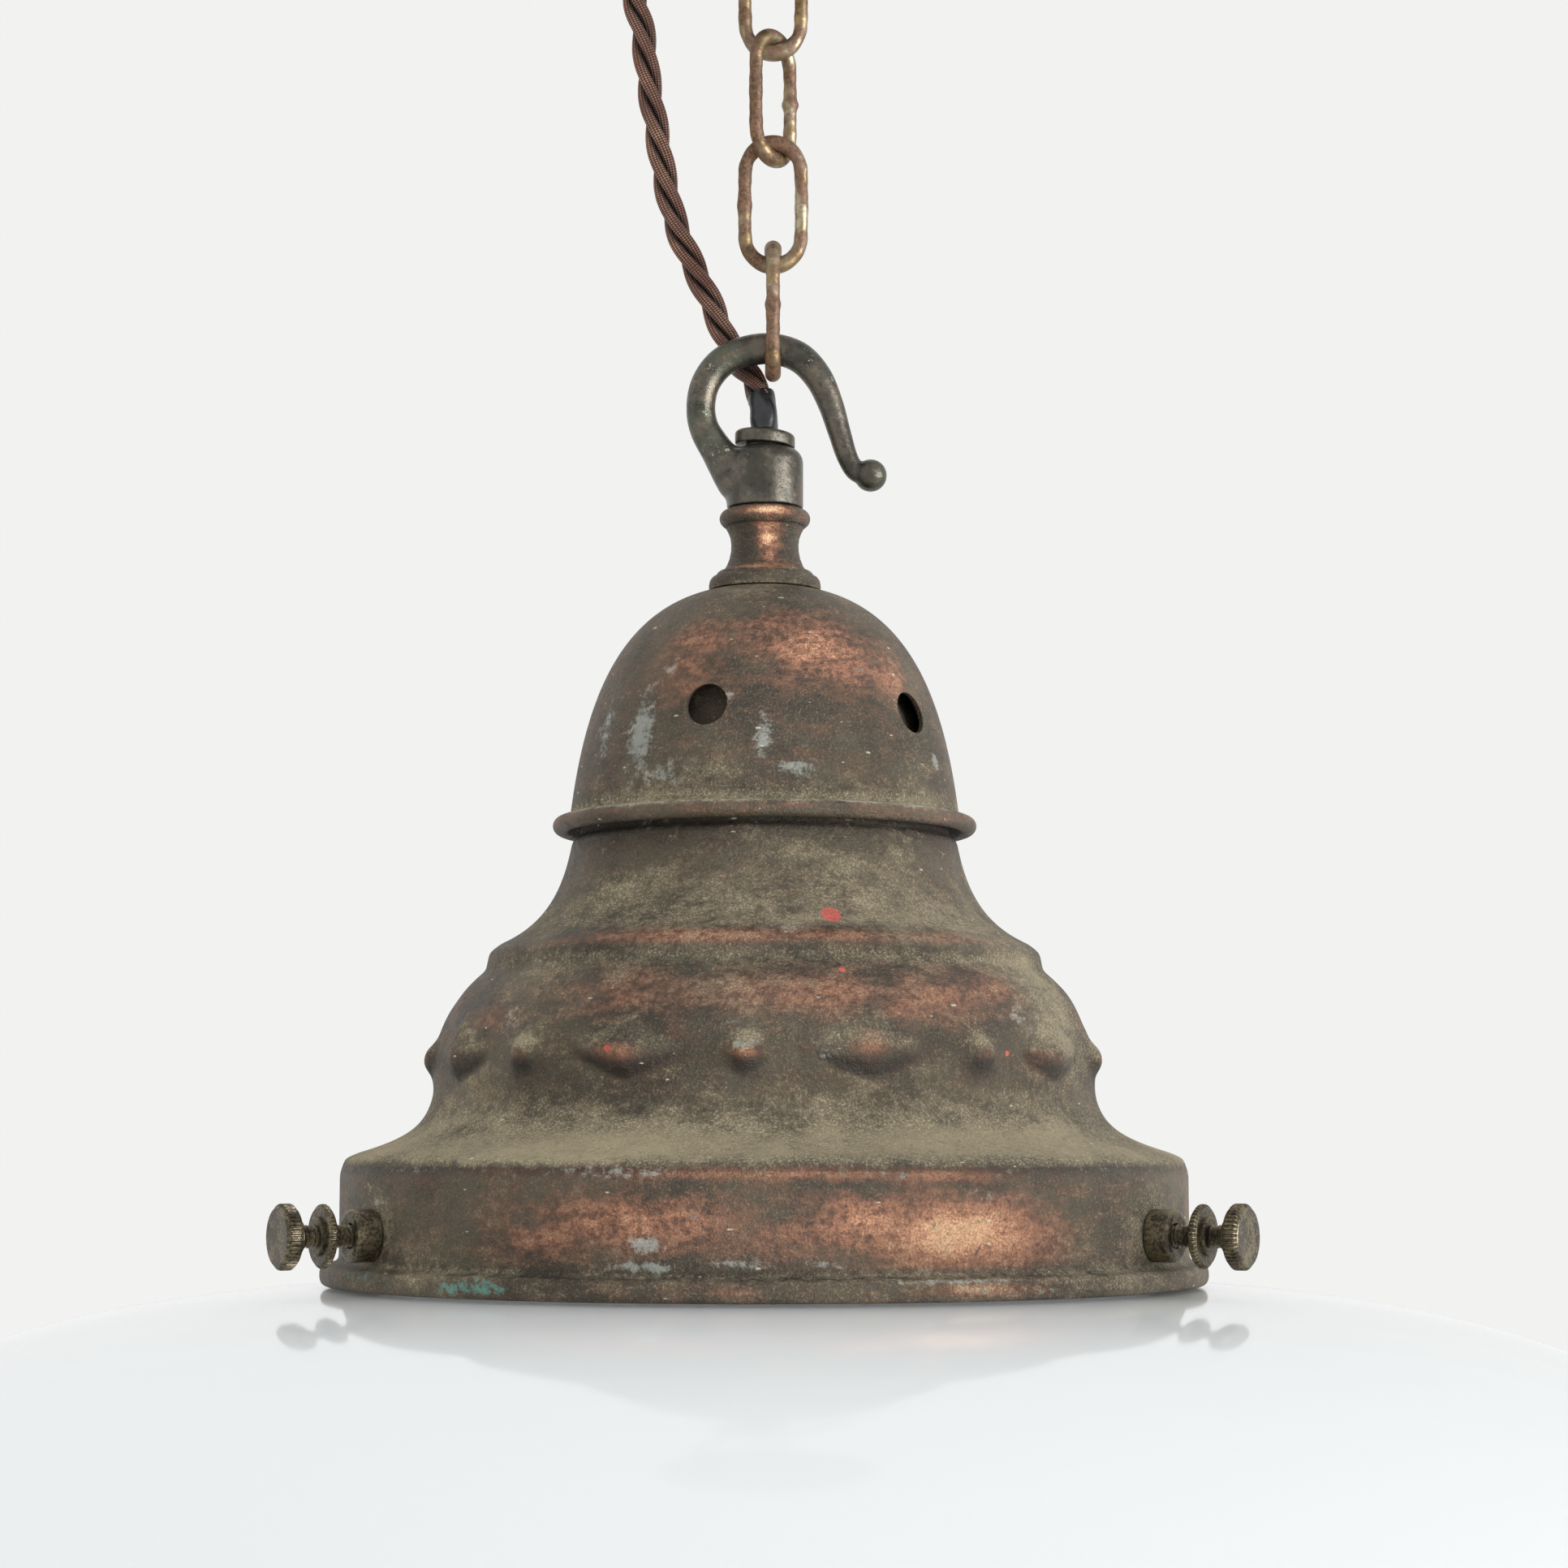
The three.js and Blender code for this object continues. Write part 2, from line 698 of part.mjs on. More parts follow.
// Round stud, a low dome pressed out of the bulge
function stud(degrees) {
  const profile = arc([0, 0], 1, 0, Math.PI / 2, studSteps)
    .map(([x, y]) => [x * studRadius, bulgeRadius + y * studRise]);
  const low = bulgeRadius - studSink;
  return outwards(turned([[0, low], [studRadius, low], ...profile], rodSides), degrees, studHeight);
}

// Pointed stud, a low wedge whose tip is its lowest corner
function pointedStud(degrees) {
  const low = bulgeRadius - studSink;
  const corners = [
    [-wedgeWide, wedgeUp / 2, bulgeRadius - studRise],
    [wedgeWide, wedgeUp / 2, bulgeRadius - studRise],
    [0, wedgeUp, low],
    [0, -wedgeDown, low],
    [0, -wedgeDown / 2, bulgeRadius + wedgeRise],
    [-wedgeUp / 2, 0, bulgeRadius + wedgeRise],
    [wedgeUp / 2, 0, bulgeRadius + wedgeRise],
  ];
  const wedge = new ConvexGeometry(corners.map((corner) => new THREE.Vector3(...corner)));
  return outwards(wedge, degrees, studHeight);
}

// Gallery, one pressed sheet from its crown to the flange that covers the glass
function galleryBody() {
  const line = galleryLine();
  const flange = [
    [flangeRadius - flangeRound * 2, flangeHeight],
    [flangeRadius, flangeHeight - flangeRound],
    [flangeRadius, flangeRound],
    [flangeRadius - flangeRound, 0],
    [bandRadius - galleryWall, 0],
  ];
  let body = asManifold(turnedRing([...line, ...flange, ...innerLine(line, galleryWall)], bodySides));
  for (let i = 0; i < studCount; i += 1) {
    const degrees = studTurn + (360 * i) / studCount;
    body = body.add(asManifold(stud(degrees)));
    body = body.add(asManifold(pointedStud(degrees + 180 / studCount)));
  }
  for (let i = 0; i < ventCount; i += 1) {
    const drill = rod(crownVentRadius, crownTop - crownVentDrill, crownTop + cutOverrun, rodSides);
    drill.translate(0, -crownVentPlace, 0);
    drill.rotateZ(THREE.MathUtils.degToRad(crownVentTurn + (360 * i) / ventCount));
    body = body.subtract(asManifold(drill));
  }
  for (let i = 0; i < screwCount; i += 1) {
    const drill = rod(bossHole, shadeLip, bandRadius + cutOverrun, rodSides);
    body = body.subtract(asManifold(outwards(drill, screwAngle(i), screwHeight)));
  }
  return named('gallery_body', asGeometry(body), copper);
}

function galleryWasher() {
  const ring = tube(nippleHole, washerRadius, washerTop - washerHeight, washerTop, smallSides);
  return named('gallery_washer', ring, brass);
}

function galleryNut() {
  const foot = galleryNutTop - galleryNutHeight;
  return named('gallery_nut', hexNut(galleryNutSize, nippleHole, foot, galleryNutHeight), brass);
}

function screwAngle(number) {
  return screwTurn + (360 * number) / screwCount;
}

function screwBoss(number) {
  const from = bandRadius + seatGap;
  const boss = tube(bossHole, bossRadius, from, from + bossLength, tinySides);
  const placed = outwards(boss, screwAngle(number), screwHeight);
  return named(`screw_boss_${number + 1}`, placed, screwMetal);
}

function lockNut(number) {
  const hole = rod(bossHole, nutPlace - cutOverrun, nutPlace + nutThick + cutOverrun, rodSides);
  const nut = asManifold(knurledDisc(nutRadius, nutPlace, nutThick)).subtract(asManifold(hole));
  const placed = outwards(asGeometry(nut), screwAngle(number), screwHeight);
  return named(`lock_nut_${number + 1}`, placed, screwMetal);
}

function thumbScrew(number) {
  const tip = shadeNeck + seatGap;
  const shank = turned([[0, tip], [shankRadius / 2, tip], [shankRadius, tip + shankRadius / 2],
    [shankRadius, headPlace + headBevel], [0, headPlace + headBevel]], rodSides);
  const screw = asManifold(shank).add(asManifold(knurledDisc(headRadius, headPlace, headThick)));
  const placed = outwards(asGeometry(screw), screwAngle(number), screwHeight);
  return named(`thumb_screw_${number + 1}`, placed, screwMetal);
}

// Opal glass: the radius follows the square root of a sine, the height falls with the cosine
function opalShade() {
  const domeLine = (radius, top, drop) => {
    const first = Math.asin(((shadeNeck + shadeNeckFillet) / shadeRadius) ** 2);
    return Array.from({ length: shadeSteps + 1 }, (_, i) => {
      const angle = first + ((Math.PI / 2 - first) * i) / shadeSteps;
      return [radius * Math.sqrt(Math.sin(angle)), top - drop * (1 - Math.cos(angle))];
    });
  };
  const lipBase = screwHeight + shankRadius + seatGap;
  const lipTop = lipBase + shadeLipHeight;
  const equator = shadeCrest - shadeDrop;
  const rim = equator - shadeRimDrop;
  const innerRadius = shadeRadius - shadeWall;
  const innerNeck = shadeNeck - shadeWall;
  const profile = [
    [innerNeck, lipTop],
    [shadeLip - shadeLipRound, lipTop],
    [shadeLip, lipTop - shadeLipRound],
    [shadeLip, lipBase + shadeLipRound],
    [shadeNeck, lipBase],
    [shadeNeck, shadeCrest + shadeNeckFillet],
    ...domeLine(shadeRadius, shadeCrest, shadeDrop),
    [shadeRadius - shadeRimTuck / 2, equator - shadeRimDrop / 2],
    [shadeRadius - shadeRimTuck, rim + shadeRimRound],
    [shadeRadius - shadeRimTuck - shadeRimRound, rim],
    [innerRadius - shadeRimTuck + shadeRimRound, rim],
    [innerRadius - shadeRimTuck, rim + shadeRimRound],
    [innerRadius - shadeRimTuck / 2, equator - shadeRimDrop / 2],
    ...domeLine(innerRadius, shadeCrest - shadeWall, shadeDrop - shadeWall).reverse(),
    [innerNeck, shadeCrest - shadeWall + shadeNeckFillet],
  ];
  return named('opal_shade', turnedRing(profile, bodySides), opal);
}

// Lampholder: cap, barrel with slots for the bulb's pins, block, plungers and ring
function holderCap() {
  const bossBase = holderTop - holderCapBossHeight;
  const skirtTop = holderCapBase + holderCapSkirt;
  const outer = [
    [holderCapBoss, bossBase],
    ...swept([holderCapBoss, bossBase], [holderCapRadius, bossBase], [holderCapRadius, bossBase],
      [holderCapRadius, skirtTop]),
    [holderCapRadius, holderCapBase],
  ];
  const inside = innerLine(outer, holderWall).slice(0, -2);
  const profile = [
    [nippleHole, holderTop], [holderCapBoss, holderTop], ...outer, ...inside,
    [holderCapBoss - holderWall, holderTop - holderCapTop], [nippleHole, holderTop - holderCapTop],
  ];
  return named('holder_cap', turnedRing(profile, smallSides), brass);
}

function terminalBlock() {
  let block = asManifold(rod(blockRadius, blockBase, blockTop, smallSides));
  for (const side of [-1, 1]) {
    const top = plungerBase + plungerHeight + seatGap;
    const well = rod(plungerRadius + seatGap, blockBase - cutOverrun, top, wireSides);
    well.translate(0, side * plungerPlace, 0);
    block = block.subtract(asManifold(well));
  }
  return named('terminal_block', asGeometry(block), porcelain);
}

function plunger(side, number) {
  const shaft = rod(plungerRadius, plungerBase, plungerBase + plungerHeight, wireSides);
  const pin = named(`contact_plunger_${number}`, shaft, brass);
  pin.position.set(0, side * plungerPlace, 0);
  return pin;
}

function holderBarrel() {
  const slotTop = bulbCapTop - pinDrop + pinRadius + seatGap;
  const slotLow = barrelBase - cutOverrun;
  const slot = new THREE.BoxGeometry(2 * (barrelRadius + cutOverrun), slotWidth, slotTop - slotLow);
  slot.translate(0, 0, (slotTop + slotLow) / 2);
  const wall = asManifold(tube(barrelRadius - holderWall, barrelRadius, barrelBase, barrelTop, smallSides));
  return named('holder_barrel', asGeometry(wall.subtract(asManifold(slot))), brass);
}

function holderRing() {
  const top = barrelBase + ringPlace;
  const ring = tube(barrelRadius + seatGap, ringRadius, top - ringHeight, top, smallSides);
  return named('holder_ring', ring, brass);
}

function bulbCap() {
  const shell = asManifold(rod(bulbCapRadius, bulbCapBase, bulbCapTop, smallSides));
  const pins = rod(pinRadius, -pinReach, pinReach, wireSides);
  pins.rotateY(Math.PI / 2);
  pins.translate(0, 0, bulbCapTop - pinDrop);
  return named('bulb_cap', asGeometry(shell.add(asManifold(pins))), brass);
}

function bulbGlass() {
  const top = bulbCapBase - seatGap;
  const centre = top - bulbLength + bulbRadius;
  const neckEnd = [bulbNeck, top - bulbNeckHeight];
  const side = [bulbRadius, centre];
  const rise = neckEnd[1] - centre;
  const outer = [
    [bulbNeck, top],
    neckEnd,
    ...swept(neckEnd, [bulbNeck, neckEnd[1] - rise * bulbNeckPullShare],
      [bulbRadius, centre + rise * bulbSidePullShare], side),
    ...arc([0, centre], bulbRadius, 0, -Math.PI / 2).slice(1, -1),
    [0, centre - bulbRadius],
  ];
  const inner = innerLine(outer, bulbWall);
  inner[0][0] = 0;
  return named('bulb_glass', turned([...outer.reverse(), ...inner.reverse()], smallSides), opal);
}

const lamp = new THREE.Group();
lamp.position.set(lampOffset, 0, flangeZ);
lamp.add(innerFlex(), cableBush(), hookCasting(), neck(), nipple(), domeCap(), capSpacer(), galleryBody());
lamp.add(galleryWasher(), galleryNut(), opalShade(), holderCap(), terminalBlock(), holderBarrel());
lamp.add(holderRing(), bulbCap(), bulbGlass());
[-1, 1].forEach((side, i) => lamp.add(plunger(side, i + 1)));
for (let i = 0; i < screwCount; i += 1) {
  lamp.add(screwBoss(i), lockNut(i), thumbScrew(i));
}

const pendant = new THREE.Group();
pendant.add(ceilingPlate(), ceilingHook(), ceilingHookNut(), outletBush());
[-1, 1].forEach((side, i) => pendant.add(ceilingScrew(side, i + 1)));
for (let i = 0; i < linkCount; i += 1) {
  pendant.add(chainLink(i));
}
for (let i = 0; i < flexSteps.length; i += 1) {
  pendant.add(flexStretch(i));
}
pendant.add(lamp);

export default pendant;
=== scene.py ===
# Looks of a pendant lamp: a patinated copper cap and gallery under a cast hook, a rusted chain,
# a twisted braided flex and a wide opal glass shade. Sizes are millimetres until a mesh is made.

import math

import bmesh
import bpy
import numpy as np
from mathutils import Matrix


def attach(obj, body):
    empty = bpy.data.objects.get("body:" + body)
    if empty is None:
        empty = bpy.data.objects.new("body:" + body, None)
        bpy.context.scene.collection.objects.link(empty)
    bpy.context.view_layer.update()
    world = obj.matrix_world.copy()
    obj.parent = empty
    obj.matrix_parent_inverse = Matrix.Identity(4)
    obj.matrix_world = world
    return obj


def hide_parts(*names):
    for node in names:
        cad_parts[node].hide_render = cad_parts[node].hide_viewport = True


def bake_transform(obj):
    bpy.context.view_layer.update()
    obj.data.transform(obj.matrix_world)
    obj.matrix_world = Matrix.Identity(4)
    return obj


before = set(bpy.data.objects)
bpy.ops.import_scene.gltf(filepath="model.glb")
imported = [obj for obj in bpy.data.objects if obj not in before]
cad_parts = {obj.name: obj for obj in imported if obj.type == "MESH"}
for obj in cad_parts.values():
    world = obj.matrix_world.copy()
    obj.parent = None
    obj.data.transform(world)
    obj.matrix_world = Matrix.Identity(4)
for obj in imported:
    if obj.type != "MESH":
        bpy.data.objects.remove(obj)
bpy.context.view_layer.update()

MM = 0.001
LAMP_X = -1.5
FLANGE_Z = -278.5
FULL_TURN = 2 * math.pi
MEET = 2e-6

# Camera: its lens in photo pixels, how far it stands from the lamp's axis and how far it looks up
PHOTO_SIZE = 1932
LENS_PIXELS = 4050
SENSOR_WIDTH = 36
CAMERA_PLACE = (2.06, -604.0, -252.04)
CAMERA_PITCH = 6.1165

# Chain and its ceiling hook
CEILING_HOOK_Z = -28.2
CEILING_HOOK_LOOP = 7.0
CEILING_HOOK_ROD = 2.0
CEILING_HOOK_TIP = 40
CEILING_HOOK_SWEEP = 190
PLATE_RADIUS = 42.0
PLATE_HEIGHT = 12.0
PLATE_CROWN = 16.0
PLATE_RIM = 3.0
PLATE_BORE = 2.3
PLATE_RECESS = (9, -5)
PLATE_SCREW = 30
SCREW_SINK = 4.1
OUTLET = (-27.5, 0, 0)
OUTLET_RADIUS = 4.2
LINK_WIRE = 2.8
LINK_LENGTH = 26.5
LINK_WIDTH = 13.2
LINK_TOPS = (-23.1, -43.7, -64.3, -84.9)
LINK_YAWS = (0, 53, 0, 90)
WELD_SIDES = (1, 1, -1, -1)
WELD_SWELL = (0.2, 0.24, 0.13, 0.2)
WELD_REACH = 0.85

# Flex: the route of its middle line, the places along it where the lengths meet, and its lay
FLEX_ROUTE = (
    (-27.5, 0, -16.3), (-27.4, 0.4, -24), (-26.9, 1.2, -32), (-26.1, 2, -37.8), (-24.9, 2.4, -42.9),
    (-23.6, 3, -53.1), (-22, 4, -62.9), (-20.2, 5.2, -73), (-18.2, 6.1, -80.5), (-14.9, 7, -88.1),
    (-11.4, 7.5, -95.6), (-9.4, 7.6, -100.5), (-7.1, 7.2, -105.2), (-4.1, 4.7, -110),
    (-2.2, 2, -114.7), (-1.6, 0.3, -118.4), (-1.5, 0, -121),
)
FLEX_CUTS = (0, 5, 9, 14)
FLEX_LAY = 27.0
CORE_RADIUS = 1.14
CORE_PLACE = 1.36
GROOVE_REACH = 2.3
SLEEVE_FROM = 13.85
SLEEVE_RADIUS = 2.52
SLEEVE_WALL = 0.4
SLEEVE_LOBE = 0.14
SLEEVE_LEAN = 0.35

# Cast hook: shares of its span and drop from the crown, with the rod's radius at each
HOOK_CROWN = 173.2
HOOK_SPAN = 13.5
HOOK_DROP = 24.1
HOOK_SHARES = (
    (-0.44, 1.08), (-0.57, 0.97), (-0.77, 0.8), (-0.95, 0.63), (-1, 0.47), (-0.94, 0.28),
    (-0.72, 0.11), (-0.38, 0.02), (0, 0), (0.36, 0.066), (0.62, 0.22), (0.8, 0.44),
    (0.92, 0.66), (1.04, 0.87), (1.16, 0.975), (1.35, 1),
)
HOOK_RADII = (4.2, 4.0, 3.2, 2.8, 2.72, 2.75, 2.85, 2.92, 2.95, 2.9, 2.7, 2.4, 2.15, 1.95, 1.85, 1.8)
HOOK_BALL = 3.05
CASTING_BASE = 142.65
CASTING_TOP = 154.3
CASTING_RADIUS = 7.15
CASTING_SHOULDER = 3.0
HOOK_BLEND = ((-6.6, 0, 148.5), (-5.4, 0, 154.5))
HOOK_BLEND_REACH = 4.6
HOOK_SKIN_CELL = 0.26

# Cable bush, neck and cap
BUSH_BASE = 154.6
BUSH_TOP = 157.2
BUSH_RADIUS = 5.6
BUSH_TILT = 4.5
BUSH_BORE = 2.7
BUSH_SPIGOT = (3.6, 152.4)
BUSH_EASE = (0.3, 0.8)
NECK_BASE = 127.2
NECK_FOOT = 10.4
NECK_LINE = (
    (10.4, 0), (10.4, 1), (10.25, 1.8), (9.85, 2.4), (9.3, 2.7), (9.05, 2.8), (8.95, 3.15), (8.6, 3.5),
    (8.1, 3.65), (7.7, 3.8), (7.15, 4.6), (6.6, 6), (6.3, 7.5), (6.26, 8.7), (6.4, 9.9), (6.8, 11),
    (7.15, 11.6), (7.2, 11.95), (7.55, 12.05),
)
NECK_RING = (6.85, 13.6)
NECK_RING_RADIUS = 1.6
NECK_TOP = (7.0, 15.3)
NIPPLE_HOLE = 5.1
CAP_SEAT = 126.9
CAP_FOOT = (35.8, 85.2)
CAP_BEAD = (37.45, 83.1)
CAP_BEAD_RADIUS = 1.55
CAP_WALL = 0.8
VENT_RADIUS = 3.75
VENT_COUNT = 5
VENT_TURN = -18
VENT_HEIGHT = 102.0
CROWN_VENT_RADIUS = 4
CROWN_VENT_PLACE = 19
CROWN_VENT_TURN = 18

# Gallery: corners of its outer line, from the crown down to the flange
CROWN_TOP = 119.1
COLLAR = (34.0, 84.0)
COLLAR_FOOT = (34.0, 81.1)
THROAT = (35.4, 80.2)
RIDGE_TOP = (48.6, 61.05)
RIDGE = (50.4, 59.6)
BULGE_TOP = (51.0, 56.4)
BULGE = (59.6, 41.0)
COVE_TOP = (60.1, 36.5)
BAND_TOP = (73.6, 23.5)
BAND_RADIUS = 76.8
BAND_HEIGHT = 21.4
FLANGE_RADIUS = 80.2
FLANGE_HEIGHT = 3.9
GALLERY_WALL = 1.0
STUD_COUNT = 9
STUD_TURN = -2.5
STUD_HEIGHT = 40.4
STUD_RISE = 2.0
STUD_SPACING = 360 / STUD_COUNT
LINE_STEP = 0.55

# Thumb screws: places are distances out from the lamp's axis
SCREW_ANGLES = (-60, 60, 180)
SCREW_HEIGHT = 9.6
SCREW_TIP = 70.3
SCREW_HOLE = 2.35
SHANK_RADIUS = 2.0
THREAD_PITCH = 0.7
THREAD_DEPTH = 0.36
BOSS = (77.1, 81.5)
BOSS_RADIUS = 4.5
BOSS_BORE = 2.2
NUT = (85.2, 86.8)
NUT_RADIUS = 5.45
NUT_HUB = 3.3
HEAD = (91.3, 94.3)
HEAD_RADIUS = 5.6
HEAD_HUB = 3.1
HUB_EASE = 0.25
KNURL_TEETH = 44
KNURL_DEPTH = 0.35

# Braid over each core: a diamond's length, and its yarns round the core
BRAID_DIAMOND = 0.9
BRAID_YARNS = 6

# Room, in metres: the key lamp, the height that lamps point at, and the floor
KEY_PLACE = (1.9, -1.1, -0.15)
LAMP_MIDDLE = -0.22
FLOOR_SIZE = (6, 6, 0)
FLOOR_HEIGHT = -1.0

# Opal shade
SHADE_RADIUS = 200.0
SHADE_CREST = 0.5
SHADE_DROP = 85.0
SHADE_WALL = 3.2
SHADE_RIM = -96.5
SHADE_RIM_ROUND = 1.2
SHADE_TUCK = 3.0
SHADE_NECK = 70.0
SHADE_LIP = 73.2
SHADE_LIP_BASE = 11.9
SHADE_LIP_TOP = 16.4

# Lampholder and bulb
HOLDER_TOP = 109.6
HOLDER_BASE = 91.6
HOLDER_RADIUS = 14.6
BARREL_TOP = 93.2
BARREL_BASE = 63.2
BARREL_RADIUS = 13.0
HOLDER_HOLE = 8.2
HOLDER_WALL = 1.1
RING = (72.2, 77.2)
RING_RADIUS = 16.6
RING_BORE = 13.3
PIN_HEIGHT = 76.3
PIN_RADIUS = 1.1
PIN_REACH = 12.6
BULB_CAP = (59.3, 84.3)
BULB_CAP_RADIUS = 11
BULB_NECK = 10.4
BULB_RADIUS = 30.0
BULB_TOP = 59.0
BULB_CENTRE = 15.0


def linear(code):
    """A colour written as sRGB hex, turned to the linear values that Blender takes."""
    parts = np.array([int(code[i:i + 2], 16) for i in (1, 3, 5)]) / 255
    low, high = parts / 12.92, ((parts + 0.055) / 1.055) ** 2.4
    return (*np.where(parts <= 0.04045, low, high).tolist(), 1.0)


def add(tree, kind, inputs=None, **settings):
    """Adds a node: settings are its own properties, inputs its sockets by name or number, each a value,
    a (node, output) pair to link from, or a node whose first output to link from."""
    node = tree.nodes.new(kind)
    for name, value in settings.items():
        setattr(node, name, value)
    for key, value in (inputs or {}).items():
        if isinstance(value, bpy.types.Node):
            value = (value, 0)
        if isinstance(value, tuple) and isinstance(value[0], bpy.types.Node):
            tree.links.new(value[0].outputs[value[1]], node.inputs[key])
        else:
            node.inputs[key].default_value = value
    return node


def new_material(name):
    """An empty node material and its tree."""
    material = bpy.data.materials.new(name)
    material.use_nodes = True
    material.node_tree.nodes.clear()
    return material, material.node_tree


# Shapes

def between(start, end, across, up):
    """A place between two corners, by a share of the way across and a share of the way up."""
    return (start[0] + (end[0] - start[0]) * across, start[1] + (end[1] - start[1]) * up)


def bent(start, pull_start, pull_end, end, steps=24):
    """Points of a cubic curve: the four places weighted by the terms of ((1 - t) + t) cubed."""
    t = np.linspace(0, 1, steps + 1)[:, None]
    a, b, c, d = (np.array(p, float) for p in (start, pull_start, pull_end, end))
    return (1 - t) ** 3 * a + 3 * t * (1 - t) ** 2 * b + 3 * t * t * (1 - t) * c + t ** 3 * d


def arc(centre, radius, start, sweep, steps=16):
    """Points on a circle: centre plus radius times the cosine and sine of equally spaced angles."""
    a = start + sweep * np.linspace(0, 1, steps + 1)
    return np.stack([centre[0] + radius * np.cos(a), centre[1] + radius * np.sin(a)], axis=1)


def spaced(line, step):
    """The line's points moved to equal steps along it, by straight interpolation over its length."""
    line = np.asarray(line, float)
    run = np.concatenate([[0], np.cumsum(np.linalg.norm(np.diff(line, axis=0), axis=1))])
    count = max(2, int(round(run[-1] / step)) + 1)
    along = np.linspace(0, run[-1], count)
    return np.stack([np.interp(along, run, line[:, k]) for k in range(line.shape[1])], axis=1)


def rounded(line, step, reach):
    """Equal steps along the line with its corners softened: each point is the mean of its neighbours
    weighted by a bell curve of that reach, and the two ends stay."""
    points = spaced(line, step)
    width = max(1, int(round(2 * reach / step)))
    bell = np.exp(-0.5 * (np.arange(-width, width + 1) * step / reach) ** 2)
    padded = np.vstack([2 * points[0] - points[width:0:-1], points, 2 * points[-1] - points[-2:-width - 2:-1]])
    return np.stack([np.convolve(padded[:, k], bell / bell.sum(), "valid") for k in range(2)], axis=1)


def through(points, per_gap=24):
    """A centripetal Catmull-Rom curve through the points, and the point number at each sample.
    Each gap blends three straight lines between its four nearest points, twice over."""
    p = np.asarray(points, float)
    p = np.vstack([2 * p[0] - p[1], p, 2 * p[-1] - p[-2]])
    t = np.concatenate([[0], np.cumsum(np.sqrt(np.linalg.norm(np.diff(p, axis=0), axis=1)))])
    number = np.linspace(0, len(points) - 1, per_gap * (len(points) - 1) + 1)
    i = np.minimum(number.astype(int), len(points) - 2) + 1
    share = number - (i - 1)
    s = t[i] + share * (t[i + 1] - t[i])

    def mix(a, b, ta, tb):
        w = ((s - ta) / (tb - ta))[:, None]
        return (1 - w) * a + w * b

    a1, a2, a3 = (mix(p[i + k - 1], p[i + k], t[i + k - 1], t[i + k]) for k in range(3))
    b1, b2 = mix(a1, a2, t[i - 1], t[i + 1]), mix(a2, a3, t[i], t[i + 2])
    return mix(b1, b2, t[i], t[i + 1]), number


def frames(path, beside, closed=False):
    """Two unit directions across a path at each point: one is the tangent crossed with a fixed
    direction beside the path, the other crosses the tangent with that."""
    if closed:
        tangent = np.roll(path, -1, axis=0) - np.roll(path, 1, axis=0)
    else:
        tangent = np.gradient(path, axis=0)
    tangent /= np.linalg.norm(tangent, axis=1)[:, None]
    side = np.cross(tangent, beside)
    side /= np.linalg.norm(side, axis=1)[:, None]
    return side, np.cross(side, tangent)


def tube(path, radii, beside, around=24, closed=False):
    """Rings along a path: centre plus radius times (cosine of a across one side + sine of a across
    the other). The radius is one number, one per ring, or one per point."""
    side, up = frames(path, beside, closed)
    a = FULL_TURN * np.arange(around) / around
    radii = np.asarray(radii, float)
    if radii.ndim < 2:
        radii = np.broadcast_to(np.atleast_1d(radii)[:, None], (len(path), around))
    ring = np.cos(a)[None, :, None] * side[:, None] + np.sin(a)[None, :, None] * up[:, None]
    return path[:, None] + radii[..., None] * ring


def lathe(profile, around=96, centre=(LAMP_X, 0, FLANGE_Z), relief=None):
    """Turns a profile of radius and height about the vertical: x = r cos a, y = r sin a, z = height.
    A relief function of the angle from the viewer's side and the height is added to the radius."""
    profile = np.asarray(profile, float)
    a = FULL_TURN * np.arange(around) / around
    r = np.broadcast_to(profile[:, :1], (len(profile), around))
    z = np.broadcast_to(profile[:, 1:], (len(profile), around))
    if relief is not None:
        front = np.mod(a + math.pi / 2 + math.pi, FULL_TURN) - math.pi
        r = r + relief(front[None, :], z)
    return np.stack([r * np.cos(a) + centre[0], r * np.sin(a) + centre[1], z + centre[2]], axis=2)


def rod(radius, low, high, around=32):
    """Round rod about the Z axis: a turned rectangle."""
    return lathe([(0, low), (radius, low), (radius, high), (0, high)], around, (0, 0, 0))


def block(low, high):
    """Box between two opposite corners: a ring of four corners at each of two heights."""
    (x0, y0, z0), (x1, y1, z1) = low, high
    return np.array([[(x0, y0, z), (x1, y0, z), (x1, y1, z), (x0, y1, z)] for z in (z0, z1)], float)


def outwards(grid, degrees, height):
    """Stands a grid made about the Z axis out from the lamp's axis: Z becomes the way outwards."""
    x, y, z = grid[..., 0], grid[..., 1], grid[..., 2]
    a = math.radians(degrees)
    across = np.array([math.cos(a), math.sin(a), 0])
    out = np.array([math.sin(a), -math.cos(a), 0])
    place = np.array([LAMP_X, 0, FLANGE_Z + height])
    return place + x[..., None] * across + z[..., None] * out + y[..., None] * np.array([0, 0, 1.0])


